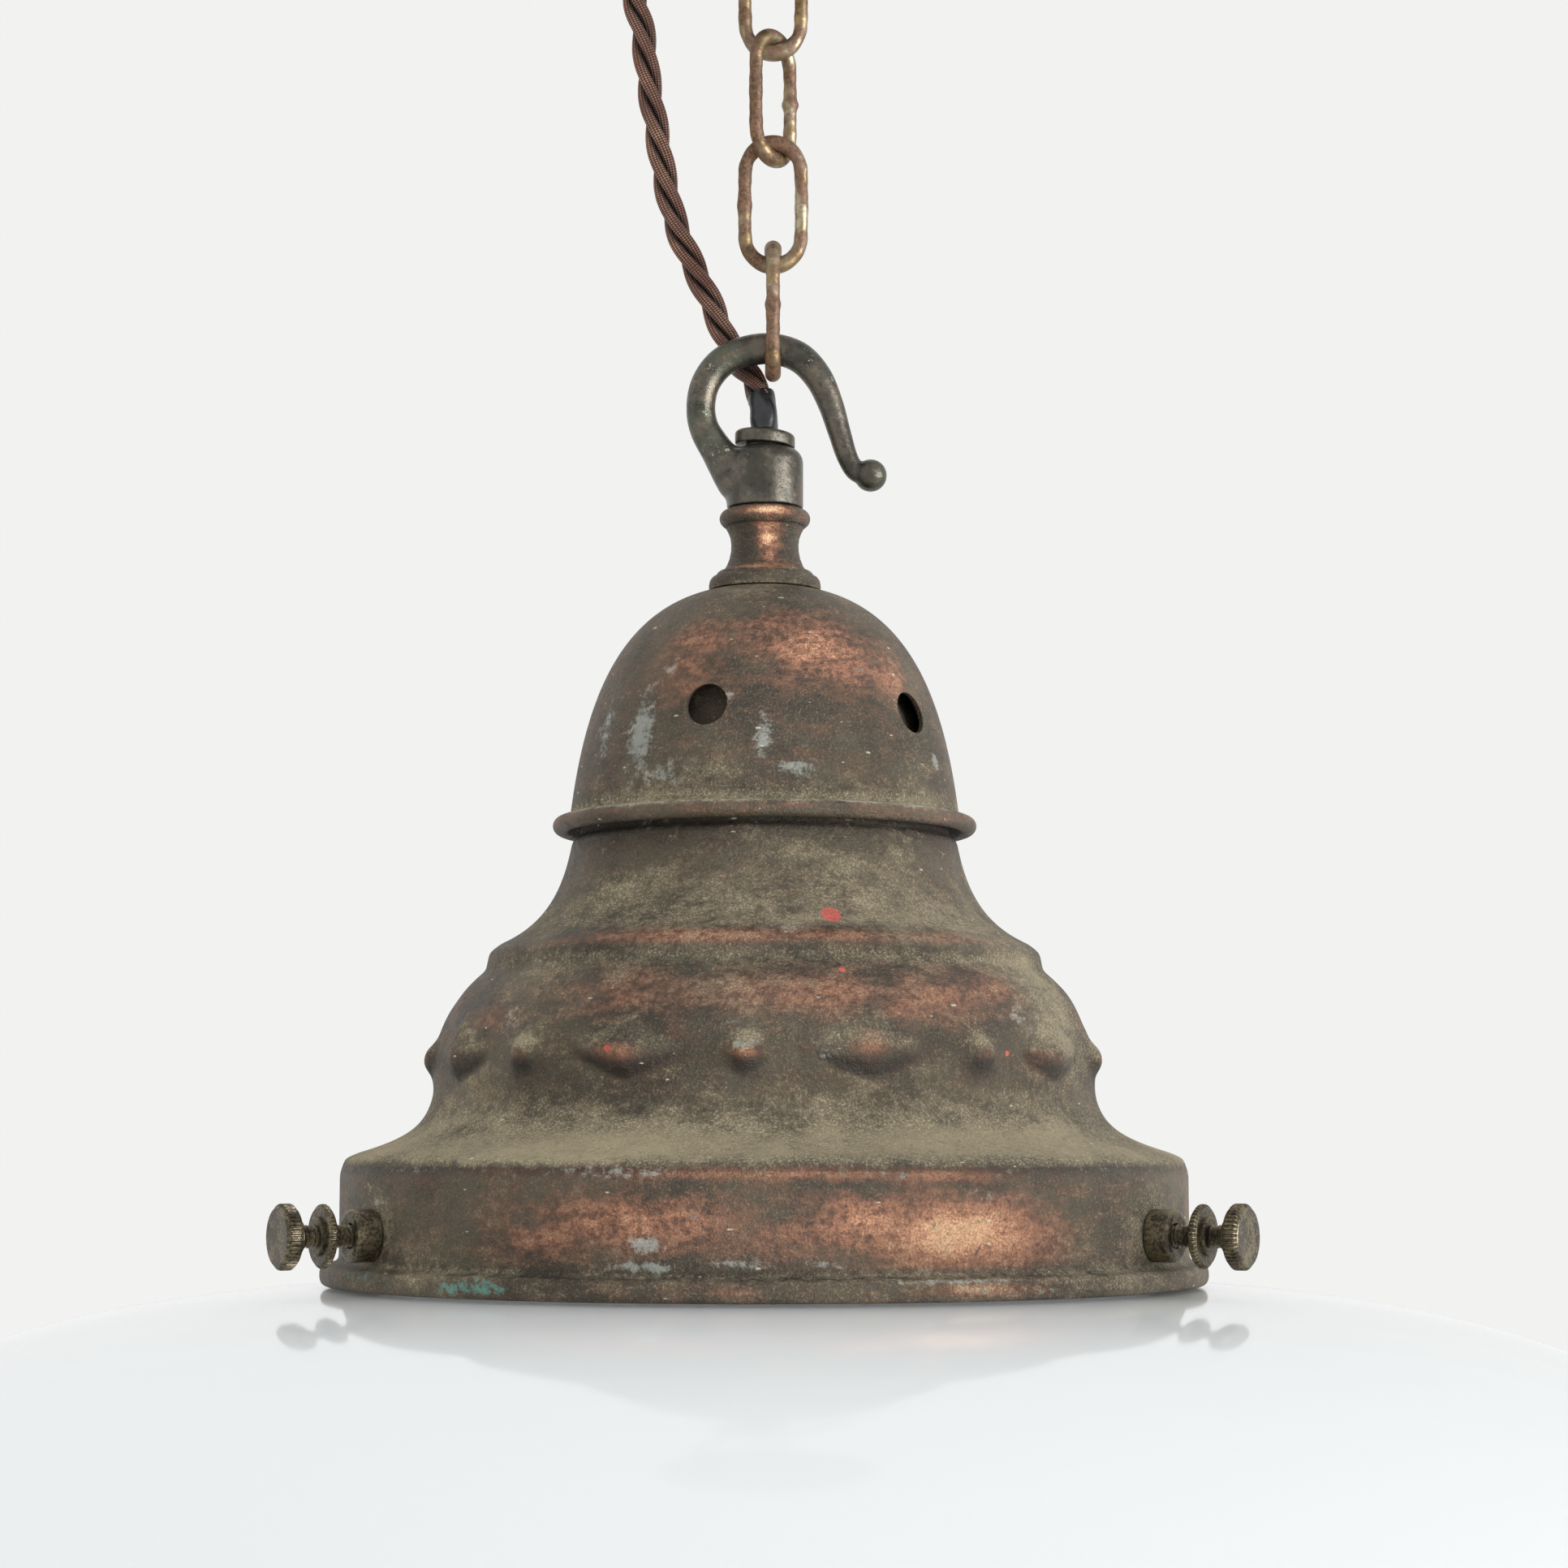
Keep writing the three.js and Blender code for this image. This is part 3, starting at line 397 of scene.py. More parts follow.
def surface(name, grids, material, sharp=35, closed=False, marks=None):
    """One mesh from grids of points whose rows run along the piece and whose columns go round it.
    Neighbours are joined by quads, open ends are closed, and points that meet are made one.
    marks gives each point a number for the material to read, one array for each grid."""
    points, faces, corners = [], [], []
    start = 0
    for grid in grids:
        rows, columns = grid.shape[:2]
        number = start + np.arange(rows * columns).reshape(rows, columns)
        below = np.roll(number, -1, axis=0) if closed else number[1:]
        above = number if closed else number[:-1]
        quads = np.stack([above, below, np.roll(below, -1, axis=1), np.roll(above, -1, axis=1)], axis=2)
        middle = grid.mean(axis=1)
        run = np.concatenate([[0], np.cumsum(np.linalg.norm(np.diff(middle, axis=0), axis=1))])
        if closed:
            run = np.append(run, run[-1] + np.linalg.norm(middle[0] - middle[-1]))
        u0, u1 = run[:len(above)], run[1:len(above) + 1]
        v0 = np.arange(columns) / columns
        v1 = v0 + 1 / columns
        u = np.stack([np.broadcast_to(k[:, None], quads.shape[:2]) for k in (u0, u1, u1, u0)], axis=2)
        v = np.stack([np.broadcast_to(k[None], quads.shape[:2]) for k in (v0, v0, v1, v1)], axis=2)
        faces += quads.reshape(-1, 4).tolist()
        corners.append(np.stack([u, v], axis=3).reshape(-1, 2))
        if not closed:
            faces += [number[0].tolist(), number[-1][::-1].tolist()]
            corners.append(np.zeros((2 * columns, 2)))
        points.append(grid.reshape(-1, 3))
        start += rows * columns
    mesh = bpy.data.meshes.new(name)
    mesh.from_pydata((np.vstack(points) * MM).tolist(), [], faces)
    mesh.uv_layers.new(name="lay").data.foreach_set("uv", np.vstack(corners).ravel())
    for key, values in (marks or {}).items():
        layer = mesh.attributes.new(key, "FLOAT", "POINT")
        layer.data.foreach_set("value", np.concatenate([v.ravel() for v in values]).astype(np.float32))
    tidy = bmesh.new()
    tidy.from_mesh(mesh)
    bmesh.ops.remove_doubles(tidy, verts=tidy.verts, dist=MEET)
    bmesh.ops.recalc_face_normals(tidy, faces=tidy.faces)
    tidy.to_mesh(mesh)
    tidy.free()
    mesh.shade_smooth()
    mesh.set_sharp_from_angle(angle=math.radians(sharp))
    mesh.materials.append(material)
    piece = bpy.data.objects.new(name, mesh)
    bpy.context.scene.collection.objects.link(piece)
    return piece


def settled(piece, sharp=35):
    """Works a piece's modifiers into its mesh."""
    seen = piece.evaluated_get(bpy.context.evaluated_depsgraph_get())
    mesh = bpy.data.meshes.new_from_object(seen)
    piece.modifiers.clear()
    old, piece.data = piece.data, mesh
    bpy.data.meshes.remove(old)
    mesh.shade_smooth()
    mesh.set_sharp_from_angle(angle=math.radians(sharp))


def drilled(piece, drills):
    """Cuts rods out of a piece, each given as a grid."""
    cutter = surface("drills", drills, piece.data.materials[0])
    cut = piece.modifiers.new("holes", "BOOLEAN")
    cut.operation, cut.solver, cut.object = "DIFFERENCE", "EXACT", cutter
    bpy.context.view_layer.update()
    settled(piece)
    bpy.data.objects.remove(cutter)


def placed(piece, body, node):
    """Says which body a piece rides on and which solid it stands for, whose own mesh it hides."""
    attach(piece, body)
    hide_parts(node)


def made(name, grids, material, body, node, sharp=35, closed=False, marks=None, drills=()):
    """A whole piece: its mesh, the rods cut out of it and its place."""
    piece = surface(name, grids, material, sharp, closed, marks)
    for rods in drills:
        drilled(piece, rods)
    placed(piece, body, node)


# Camera and cords come first

def make_camera():
    """The photo's camera: level with the lower cove's foot and turned up a little."""
    data = bpy.data.cameras.new("camera")
    data.sensor_width = SENSOR_WIDTH
    data.lens = LENS_PIXELS / PHOTO_SIZE * SENSOR_WIDTH
    data.clip_start, data.clip_end = 0.01, 50
    camera = bpy.data.objects.new("camera", data)
    camera.location = [c * MM for c in CAMERA_PLACE]
    camera.rotation_euler = (math.radians(90 + CAMERA_PITCH), 0, 0)
    bpy.context.scene.collection.objects.link(camera)
    bpy.context.scene.camera = camera


def flex_core(path, run, number):
    """One core of the flex: its middle circles the flex's path once in each lay, on a circle of
    CORE_PLACE, and the core is a round tube about that helix."""
    side, up = frames(path, (0, 1, 0))
    a = (FULL_TURN * (number / 3 + run / FLEX_LAY))[:, None]
    middle = path + CORE_PLACE * (np.cos(a) * side + np.sin(a) * up)
    return tube(middle, CORE_RADIUS, (0, 1, 0), 20)


def make_flex(material):
    """Three lengths of the flex that meet on one curve, so that its twist runs on through them. A painted
    shade mark is 1 in the grooves between the cores and falls to 0 with the distance from the path."""
    path, number = through(FLEX_ROUTE)
    run = np.concatenate([[0], np.cumsum(np.linalg.norm(np.diff(path, axis=0), axis=1))])
    cores = [flex_core(path, run, k) for k in range(3)]
    ties = (("ceiling_fitting", "top_link"), ("top_link", "hanging_chain"), ("hanging_chain", "lamp"))
    for name, low, high, (above, below) in zip(
            ("flex_upper", "flex_middle", "flex_lower"), FLEX_CUTS, FLEX_CUTS[1:], ties):
        part = (number >= low - 1e-9) & (number <= high + 1e-9)
        out = [np.linalg.norm(core - path[:, None], axis=2)[part] for core in cores]
        groove_shade = [np.clip(GROOVE_REACH - away, 0, 1) for away in out]
        piece = surface("braided_" + name, [core[part] for core in cores], material, 60, marks={"groove_shade": groove_shade})
        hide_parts(name)
        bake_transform(piece)


def make_sleeve(material):
    """Shrunk sleeve: a tube whose radius follows the three cores under it. Its top edge is cut
    askew, so the first rings lean by a cosine of the angle."""
    path, number = through(FLEX_ROUTE)
    path = spaced(path[number >= SLEEVE_FROM], 0.2)
    run = np.linspace(0, 1, len(path))[:, None]
    a = FULL_TURN * np.arange(64)[None] / 64
    lobes = np.cos(3 * a + 4.5 * run) + 0.5 * np.cos(2 * a - 9 * run)
    radii = SLEEVE_RADIUS + SLEEVE_LOBE * lobes
    rings, inner = (tube(path, radii - wall, (0, 1, 0), 64) for wall in (0, SLEEVE_WALL))
    for grid in (rings, inner):
        grid[..., 2] += SLEEVE_LEAN * np.cos(a + 0.6) * np.exp(-run * 6)
    made("shrunk_sleeve", [np.concatenate([rings, inner[::-1]])], material, "lamp", "flex_sleeve", 50, True)


# Chain and ceiling fitting

def link_grid(number):
    """Link: rings along two straights and two half circles, drawn in a little towards its ends. The
    butt weld swells the wire in the middle of one leg, as a bell curve of the distance from it, the
    wire is fuller at both ends, and two slow sines wear it unevenly."""
    bend = (LINK_WIDTH - LINK_WIRE) / 2
    straight = LINK_LENGTH - LINK_WIDTH
    top = arc((0, straight / 2), bend, 0, math.pi, 20)
    foot = arc((0, -straight / 2), bend, math.pi, math.pi, 20)
    line = spaced(np.vstack([top, foot, top[:1]]), 0.35)[:-1]
    line[:, 0] *= 1.03 - 0.09 * (2 * line[:, 1] / LINK_LENGTH) ** 2
    away = np.hypot(line[:, 0] - WELD_SIDES[number] * bend, line[:, 1])
    weld = WELD_SWELL[number] * np.exp(-(away / WELD_REACH) ** 2)
    wear = 0.03 * np.sin(line[:, 1] * 0.9 + number) + 0.02 * np.sin(line[:, 1] * 2.3 + 2 * number)
    crown = 0.21 * np.exp(-((LINK_LENGTH / 2 - LINK_WIRE / 2 - np.abs(line[:, 1])) / 2.2) ** 2)
    radii = LINK_WIRE / 2 * (0.9 + weld + wear + crown)
    yaw = math.radians(LINK_YAWS[number])
    across = np.array([math.cos(yaw), math.sin(yaw), 0])
    beside = np.array([-math.sin(yaw), math.cos(yaw), 0])
    middle = np.array([0, 0, LINK_TOPS[number] - LINK_LENGTH / 2])
    path = middle + line[:, :1] * across + line[:, 1:] * np.array([0, 0, 1.0])
    return tube(path, radii, beside, 24, closed=True)


def make_chain(material):
    """Four links, each on its own body or on the one that it hangs straight with."""
    bodies = ("top_link", "hanging_chain", "third_link", "hanging_chain")
    for number, body in enumerate(bodies):
        name = f"chain_link_{number + 1}"
        made("rusted_" + name, [link_grid(number)], material, body, name, 60, True)


def make_ceiling(copper, bronze, brass, moulded):
    """Plate turned from its profile and drilled, with its hook, two screws and outlet bush."""
    belly = PLATE_HEIGHT - PLATE_RIM
    profile = np.vstack([
        [(PLATE_RECESS[0], 0), (PLATE_RADIUS - 0.3, 0)],
        arc((PLATE_RADIUS - 0.3, -0.3), 0.3, math.pi / 2, -math.pi / 2, 4),
        bent((PLATE_RADIUS, -PLATE_RIM), (PLATE_RADIUS, -PLATE_RIM - belly / 2),
             (PLATE_CROWN + belly, -PLATE_HEIGHT), (PLATE_CROWN, -PLATE_HEIGHT)),
        [(PLATE_BORE, -PLATE_HEIGHT), (PLATE_BORE, PLATE_RECESS[1]), PLATE_RECESS],
    ])
    grid = lathe(profile, 128, (0, 0, 0))
    marks = {"rub_and_highlight": [np.full(grid.shape[:2], 0.15)], "grime_and_shade": [np.full(grid.shape[:2], 0.2)]}
    below = -PLATE_HEIGHT - 1
    drills = [[rod(radius, below, high) + (0, side * PLATE_SCREW, 0) for side in (-1, 1)]
              for radius, high in ((PLATE_BORE, 1), (SCREW_SINK, PLATE_RECESS[1]))]
    made("turned_ceiling_plate", [grid], copper, "ceiling_fitting", "ceiling_plate", 30, True, marks,
         drills + [[rod(OUTLET_RADIUS, below, 1) + OUTLET]])

    centre = CEILING_HOOK_Z + CEILING_HOOK_LOOP
    stem = [(0, 0, -1.2), (0, 0, -6), (0, 0, -12), (0, 0, -14.2)]
    turn = np.radians(CEILING_HOOK_TIP - CEILING_HOOK_SWEEP * np.linspace(0, 1, 9))
    bend = [(0, CEILING_HOOK_LOOP * math.cos(t), centre + CEILING_HOOK_LOOP * math.sin(t)) for t in turn]
    path = spaced(through(stem + bend)[0], 0.6)
    left = np.minimum(np.arange(len(path))[::-1] * 0.6, 2.0)
    radii = np.sqrt(np.clip(1 - (1 - left / 2) ** 2, 0.0, 1)) * CEILING_HOOK_ROD * 0.98
    made("bent_ceiling_hook", [tube(path, radii, (1, 0, 0), 24)], bronze, "ceiling_fitting", "ceiling_hook", 60)

    for number, side in ((1, -1), (2, 1)):
        dome = arc((0, 0), 1, -math.pi / 2, math.pi / 2, 12) * (3.8, 2.2) + (0, -5.3)
        profile = np.vstack([dome, [(2, -5.3), (2, -0.3), (0, -0.3)]])
        place = (0, side * PLATE_SCREW, 0)
        made(f"ceiling_screw_{number}_head", [lathe(profile, 48, place)], brass, "ceiling_fitting",
             f"ceiling_screw_{number}", drills=[[block((-0.5, -5, -8), (0.5, 5, -6.7)) + place]])

    profile = np.vstack([
        [(0, -6), (3.9, -6), (3.9, -12.3), (5.2, -12.3)],
        bent((5.4, -12.5), (5.4, -14), (4.6, -15.1), (3.6, -15.6)),
        [(2.8, -15.7), (2.6, -15.2), (0, -15.2)],
    ])
    made("outlet_bush", [lathe(profile, 64, OUTLET)], moulded, "ceiling_fitting", "ceiling_flex_bush")


# Weathering and painted light: numbers for each point of the copper that its material reads

def levels(height, table):
    """A value for each height, read from a table of heights and values by straight interpolation."""
    at, value = np.array(table, float).T
    return np.interp(height, at, value)


def front_angle(grid):
    """Degrees round the lamp's axis from the viewer's side, clockwise seen from below."""
    return np.degrees(np.arctan2(grid[..., 0] - LAMP_X, -grid[..., 1]))


def turned_from(angle, at, full=360):
    """Degrees from one angle to another, the short way round a full turn."""
    return np.mod(angle - at + full / 2, full) - full / 2


def patches(angle, height, places):
    """Patches: the strongest of several bell curves, each about an angle and a height with its own
    widths."""
    total = np.zeros(np.shape(height))
    for at, level, wide, tall, strength in places:
        bell = np.exp(-(turned_from(angle, at) / wide) ** 2 - ((height - level) / tall) ** 2)
        total = np.maximum(total, strength * bell)
    return total


# Patches of rubbed metal and other marks, some of them painted light: each row an angle, a height, half widths
# in degrees and mm, and a strength
NECK_RUBS = (
    (6, 141.2, 34, 1.0, 1.4), (3, 138.4, 28, 1.3, 1.1), (6, 136, 20, 2.4, 1.2), (9, 133.6, 16, 1.8, 1.1),
    (0, 130.7, 38, 0.6, 1.3), (150, 136, 30, 4, 0.8), (-110, 130.7, 50, 0.6, 0.8), (-140, 141.2, 60, 0.8, 0.8),
)
CAP_RUBS = (
    (20, 112.5, 22, 6.5, 1.0), (-25, 114.5, 15, 4.5, 0.75), (-28, 109.5, 18, 4, 0.6), (48, 108, 12, 5.5, 0.85),
    (4, 116, 22, 4, 0.6), (30, 107, 16, 3, 0.6), (110, 108, 26, 6, 0.9), (160, 113, 30, 6, 0.85),
    (-120, 106, 28, 7, 0.8), (-165, 97, 18, 5, 0.6), (140, 92, 16, 3, 0.5), (-24, 104.5, 14, 3, 0.55),
)
# The patch at 58 degrees is painted light on the cap's right side, laid on with the dust
CAP_CRUST_AND_LIGHT = ((58, 98, 18, 12, 0.35), (-15, 90, 14, 1.4, 0.5), (130, 95, 30, 8, 0.4), (-150, 90, 30, 5, 0.4))
CAP_SCUFFS = (
    (-40, 97, 6, 8, 1.05), (0, 96, 3.5, 4.5, 0.9), (-34, 109.5, 6, 2.5, 0.6), (-11, 103, 2.5, 1.8, 0.65),
    (63, 93.5, 2.4, 2, 1.1), (-30, 90, 10, 2.6, 0.75), (10, 90, 7, 2, 0.85), (-58, 99, 5, 8, 0.75),
    (-100, 95, 6, 6, 0.6), (135, 101, 5, 7, 0.7), (-170, 104, 8, 4, 0.6), (178, 90, 7, 2.4, 0.6),
)
GALLERY_RUBS_AND_HIGHLIGHT = (
    # The patch at 25 degrees and 10.5 mm is a painted highlight on the band's right, laid on with the rubs
    (-17, 12.8, 15, 5.2, 0.8), (-27, 9.5, 8, 3.5, 0.7), (13, 12, 9, 5.4, 0.95), (25, 10.5, 14, 6.2, 1.3),
    (4, 10, 10, 4, 0.5), (0, 20.7, 30, 1.2, 1.05), (22, 20.5, 9, 1.3, 1.0), (-34, 21, 10, 1.0, 0.75),
    (-22, 50.5, 22, 4.8, 0.5), (2, 50.5, 17, 4.8, 0.58), (13, 50, 11, 4.6, 0.68), (30, 49.6, 14, 4.8, 0.7),
    (46, 51.5, 10, 4, 0.65), (-52, 47, 10, 3, 0.5), (-14, 60.4, 30, 1.7, 0.9), (14, 60.6, 20, 1.5, 0.75),
    (40, 60.6, 16, 1.3, 0.65), (26, 2, 8, 1.2, 0.95), (-4, 2, 6, 1, 0.5), (-25, 40.5, 5, 2.5, 0.6),
    (-3, 41, 3, 2, 0.6), (17, 42.5, 4, 2.5, 0.6), (52, 40, 4, 3, 0.5),
    (100, 13, 18, 4.5, 0.9), (128, 9.5, 10, 3, 0.7), (150, 48, 18, 4, 0.75), (178, 12, 14, 4, 0.85),
    (-150, 10.5, 16, 4.5, 0.9), (-110, 48, 20, 3.5, 0.7), (-95, 12, 9, 4, 0.65), (120, 60.8, 24, 1, 0.8),
    (-130, 60.8, 26, 1, 0.8), (75, 47, 10, 3, 0.55), (90, 20.7, 20, 0.9, 0.8), (-160, 20.7, 30, 0.9, 0.8),
)
GALLERY_SCUFFS = (
    (-14, 9.3, 2.2, 1.7, 1.0), (28, 17, 3, 1.6, 0.6), (-60, 13, 3, 5, 0.6), (-48, 46, 3, 4, 0.6),
    (50, 47, 6, 4, 0.5), (-5, 45.5, 4, 1, 0.6), (6, 61.5, 8, 1, 0.5), (-38, 81, 6, 2, 0.5),
    (-2, 41.5, 3.5, 1.3, 0.75), (110, 17, 5, 3, 0.6), (160, 40, 5, 3, 0.6), (-140, 47, 5, 4, 0.6),
    (-100, 70, 8, 4, 0.5), (140, 72, 8, 4, 0.5), (-46, 20.7, 12, 0.7, 0.45), (-20, 20.5, 12, 0.6, 0.5),
    (18, 20.5, 16, 0.6, 0.4), (50, 20.8, 12, 0.7, 0.45), (120, 20.6, 30, 0.6, 0.45),
    (-130, 20.6, 30, 0.6, 0.45),
    (-14, 5.6, 5.5, 1.0, 1.1), (-3, 6.2, 4, 0.8, 0.9), (8, 6.2, 4, 0.6, 0.8), (22, 3.4, 10, 0.5, 0.8),
    (-19, 20.6, 9, 1.2, 0.8), (10, 40, 1.6, 1.4, 0.7),
)
GALLERY_GREEN = (
    (-36, 2, 9, 1.7, 1.15), (-58, 3, 8, 2, 0.8), (30, 1.5, 12, 1, 0.6), (-30, 60.5, 2, 0.8, 0.7),
    (95, 2, 18, 1.4, 0.7), (-120, 2, 22, 1.4, 0.7), (170, 4, 12, 1.6, 0.7), (0, 20.9, 3, 0.6, 0.7),
)
# Coral paint spots: angle, height and radius
GALLERY_SPOTS = ((15.5, 64.2, 1.75), (-25, 41, 0.75), (14.5, 54.3, 0.6), (44, 40.5, 0.6), (-140, 66, 1.2))
# Height and value, up each outer face
NECK_DUST = ((0, 0.6), (1.2, 0.35), (2.5, 0.4), (3.1, 0.6), (4, 0.15), (9, 0.05), (11.8, 0.3), (12.6, 0.05),
             (15.3, 0.3))
# The grime tables darken creases and the undersides of ledges, rings and the bulge: partly grime, partly
# painted shade
NECK_GRIME_AND_SHADE = ((0, 0.6), (0.8, 0.2), (2.6, 0.2), (2.9, 0.8), (3.3, 0.1), (8, 0.1), (11.4, 0.2), (11.9, 0.9),
              (12.4, 0.1), (14.6, 0.2), (15.3, 0.8))
CAP_DUST = ((81, 0.1), (83.6, 0.1), (84.6, 1.0), (85.6, 1.0), (87, 0.55), (89, 0.28), (97, 0.2), (104, 0.12),
            (112, 0.08), (119, 0.2), (124, 0.35), (127, 0.5))
CAP_GRIME_AND_SHADE = ((81, 0.8), (81.9, 0.25), (83, 0), (86, 0), (96, 0.1), (104, 0.35), (112, 0.2), (119, 0.3),
             (127, 0.4))
GALLERY_DUST = (
    (0, 0.3), (3.2, 0.4), (4.4, 0.6), (5.4, 0.3), (12, 0.15), (19, 0.15), (21, 0.2), (22.6, 1.1), (24, 1.45),
    (27, 1.1), (30, 0.75), (33, 0.5), (36, 0.34), (40, 0.3), (46, 0.28), (52, 0.4), (55, 0.45), (57, 0.8),
    (58.4, 0.5), (60, 0.35), (61.3, 0.5), (63.5, 0.75), (67, 0.62), (70, 0.42), (73, 0.28), (78, 0.1),
    (84, 0.05), (119, 0.4),
)
GALLERY_GRIME_AND_SHADE = (
    (0, 0.4), (1.5, 0.1), (3.2, 0.2), (3.9, 0.9), (5, 0.8), (5.8, 0.2), (19, 0.2), (20.4, 0.7), (21.4, 0.9),
    (22.6, 0.1), (30, 0.1), (34, 0.35), (38, 0.45), (43, 0.4), (46, 0.2), (50, 0.1), (55, 0.05), (57.5, 0.2),
    (58.8, 0.5), (60, 0.2), (61, 0), (66, 0), (72, 0.3), (78, 0.6), (83, 0.9), (119, 0.3),
)
# Lichen-like dirt in the upper cove, and paler patches on the right of the bulge and band that are painted
# light, laid on with the dust
GALLERY_CRUST_AND_LIGHT = (
    (8, 76, 10, 3, 0.5), (22, 73, 10, 3.4, 0.4), (-5, 79, 7, 2, 0.4), (40, 77, 8, 4, 0.35),
    (-40, 70, 12, 3, 0.4), (-24, 24.5, 12, 1.6, 0.4), (30, 26, 20, 2.2, 0.5), (60, 12, 20, 8, 0.35),
    (56, 2, 24, 3, 0.3), (66, 50, 12, 8, 0.8), (68, 42, 14, 7, 0.6), (100, 74, 24, 4.5, 0.7),
    (150, 28, 24, 3, 0.6), (-150, 75, 24, 5, 0.7), (-100, 26, 20, 3, 0.6),
)


# Hook, bush and neck

def make_hook(material):
    """Hook, ball and base cast as one: three closed grids made one skin on a fine grid of cells and
    smoothed, most of all near the line where the hook grows out of the base."""
    shoulder = arc((CASTING_RADIUS - CASTING_SHOULDER, CASTING_TOP - CASTING_SHOULDER),
                   CASTING_SHOULDER, 0, math.pi / 2)
    post = np.vstack([[(0, CASTING_BASE), (CASTING_RADIUS, CASTING_BASE)], shoulder, [(0, CASTING_TOP)]])
    route = [(across * HOOK_SPAN, 0, FLANGE_Z + HOOK_CROWN - drop * HOOK_DROP) for across, drop in HOOK_SHARES]
    path, number = through(route, 8)
    radii = np.interp(number, np.arange(len(HOOK_RADII)), HOOK_RADII)
    ball = arc((0, 0), HOOK_BALL, -math.pi / 2, math.pi, 24)
    grids = [lathe(post, 64), tube(path, radii, (0, 1, 0), 32), lathe(ball, 48, route[-1])]
    piece = surface("cast_hook", grids, material)
    skin = piece.modifiers.new("skin", "REMESH")
    skin.mode, skin.voxel_size = "VOXEL", HOOK_SKIN_CELL * MM
    soft = piece.modifiers.new("soft", "SMOOTH")
    soft.factor, soft.iterations = 0.5, 10
    settled(piece, 80)
    points = np.empty(len(piece.data.vertices) * 3, np.float32)
    piece.data.vertices.foreach_get("co", points)
    points = points.reshape(-1, 3) / MM - (LAMP_X, 0, FLANGE_Z)
    low, high = np.array(HOOK_BLEND[0]), np.array(HOOK_BLEND[1])
    share = np.clip((points - low) @ (high - low) / ((high - low) @ (high - low)), 0, 1)
    away = np.linalg.norm(points - low - share[:, None] * (high - low), axis=1)
    weight = np.exp(-(away / HOOK_BLEND_REACH) ** 4)
    blend = piece.vertex_groups.new(name="blend")
    for step in range(1, 9):
        chosen = np.flatnonzero(np.round(weight * 8) == step)
        blend.add(chosen.tolist(), step / 8, "REPLACE")
    flow = piece.modifiers.new("flow", "SMOOTH")
    flow.factor, flow.iterations, flow.vertex_group = 0.5, 160, "blend"
    settled(piece, 80)
    placed(piece, "lamp", "hook_casting")


def make_bush(material):
    """Cable bush: a bevelled disc that sits a little askew, its height raised by a share of x."""
    low, high = BUSH_EASE
    profile = np.vstack([
        [(BUSH_BORE, BUSH_SPIGOT[1]), BUSH_SPIGOT, (BUSH_SPIGOT[0], BUSH_BASE), (BUSH_RADIUS - low, BUSH_BASE)],
        arc((BUSH_RADIUS - low, BUSH_BASE + low), low, -math.pi / 2, math.pi / 2, 5),
        arc((BUSH_RADIUS - high, BUSH_TOP - high), high, 0, math.pi / 2, 8), [(BUSH_BORE, BUSH_TOP)],
    ])
    grid = lathe(profile, 96)
    lean = np.clip((grid[..., 2:] - FLANGE_Z - 153) / 1.6, 0, 1)
    grid[..., 2:] -= lean * math.tan(math.radians(BUSH_TILT)) * (grid[..., :1] - LAMP_X)
    made("cable_bush_disc", [grid], material, "lamp", "cable_bush", 40, True)


def make_neck(material):
    """Neck turned from its line, with the ring at its top as an arc."""
    ring = arc(NECK_RING, NECK_RING_RADIUS, -1.25, 2.5, 24)
    line = rounded(np.vstack([NECK_LINE, ring, [NECK_TOP]]), 0.1, 0.09)
    line = np.vstack([line, [(NIPPLE_HOLE, NECK_TOP[1]), (NIPPLE_HOLE, 0)]]) + (0, NECK_BASE)
    grid = lathe(line, 160)
    front, height = front_angle(grid), grid[..., 2] - FLANGE_Z
    marks = {
        "dust_and_light": [levels(height - NECK_BASE, NECK_DUST)], "rub_and_highlight": [patches(front, height, NECK_RUBS)],
        "grime_and_shade": [levels(height - NECK_BASE, NECK_GRIME_AND_SHADE)],
    }
    made("turned_neck", [grid], material, "lamp", "neck", 50, True, marks)


# Cap and gallery

def walled(line, wall):
    """The inner line of a sheet: the outer one moved inwards by the wall, square to its run, reversed."""
    run = np.gradient(line, axis=0)
    run /= np.maximum(np.linalg.norm(run, axis=1), 1e-9)[:, None]
    return (line + wall * np.stack([run[:, 1], -run[:, 0]], axis=1))[::-1]


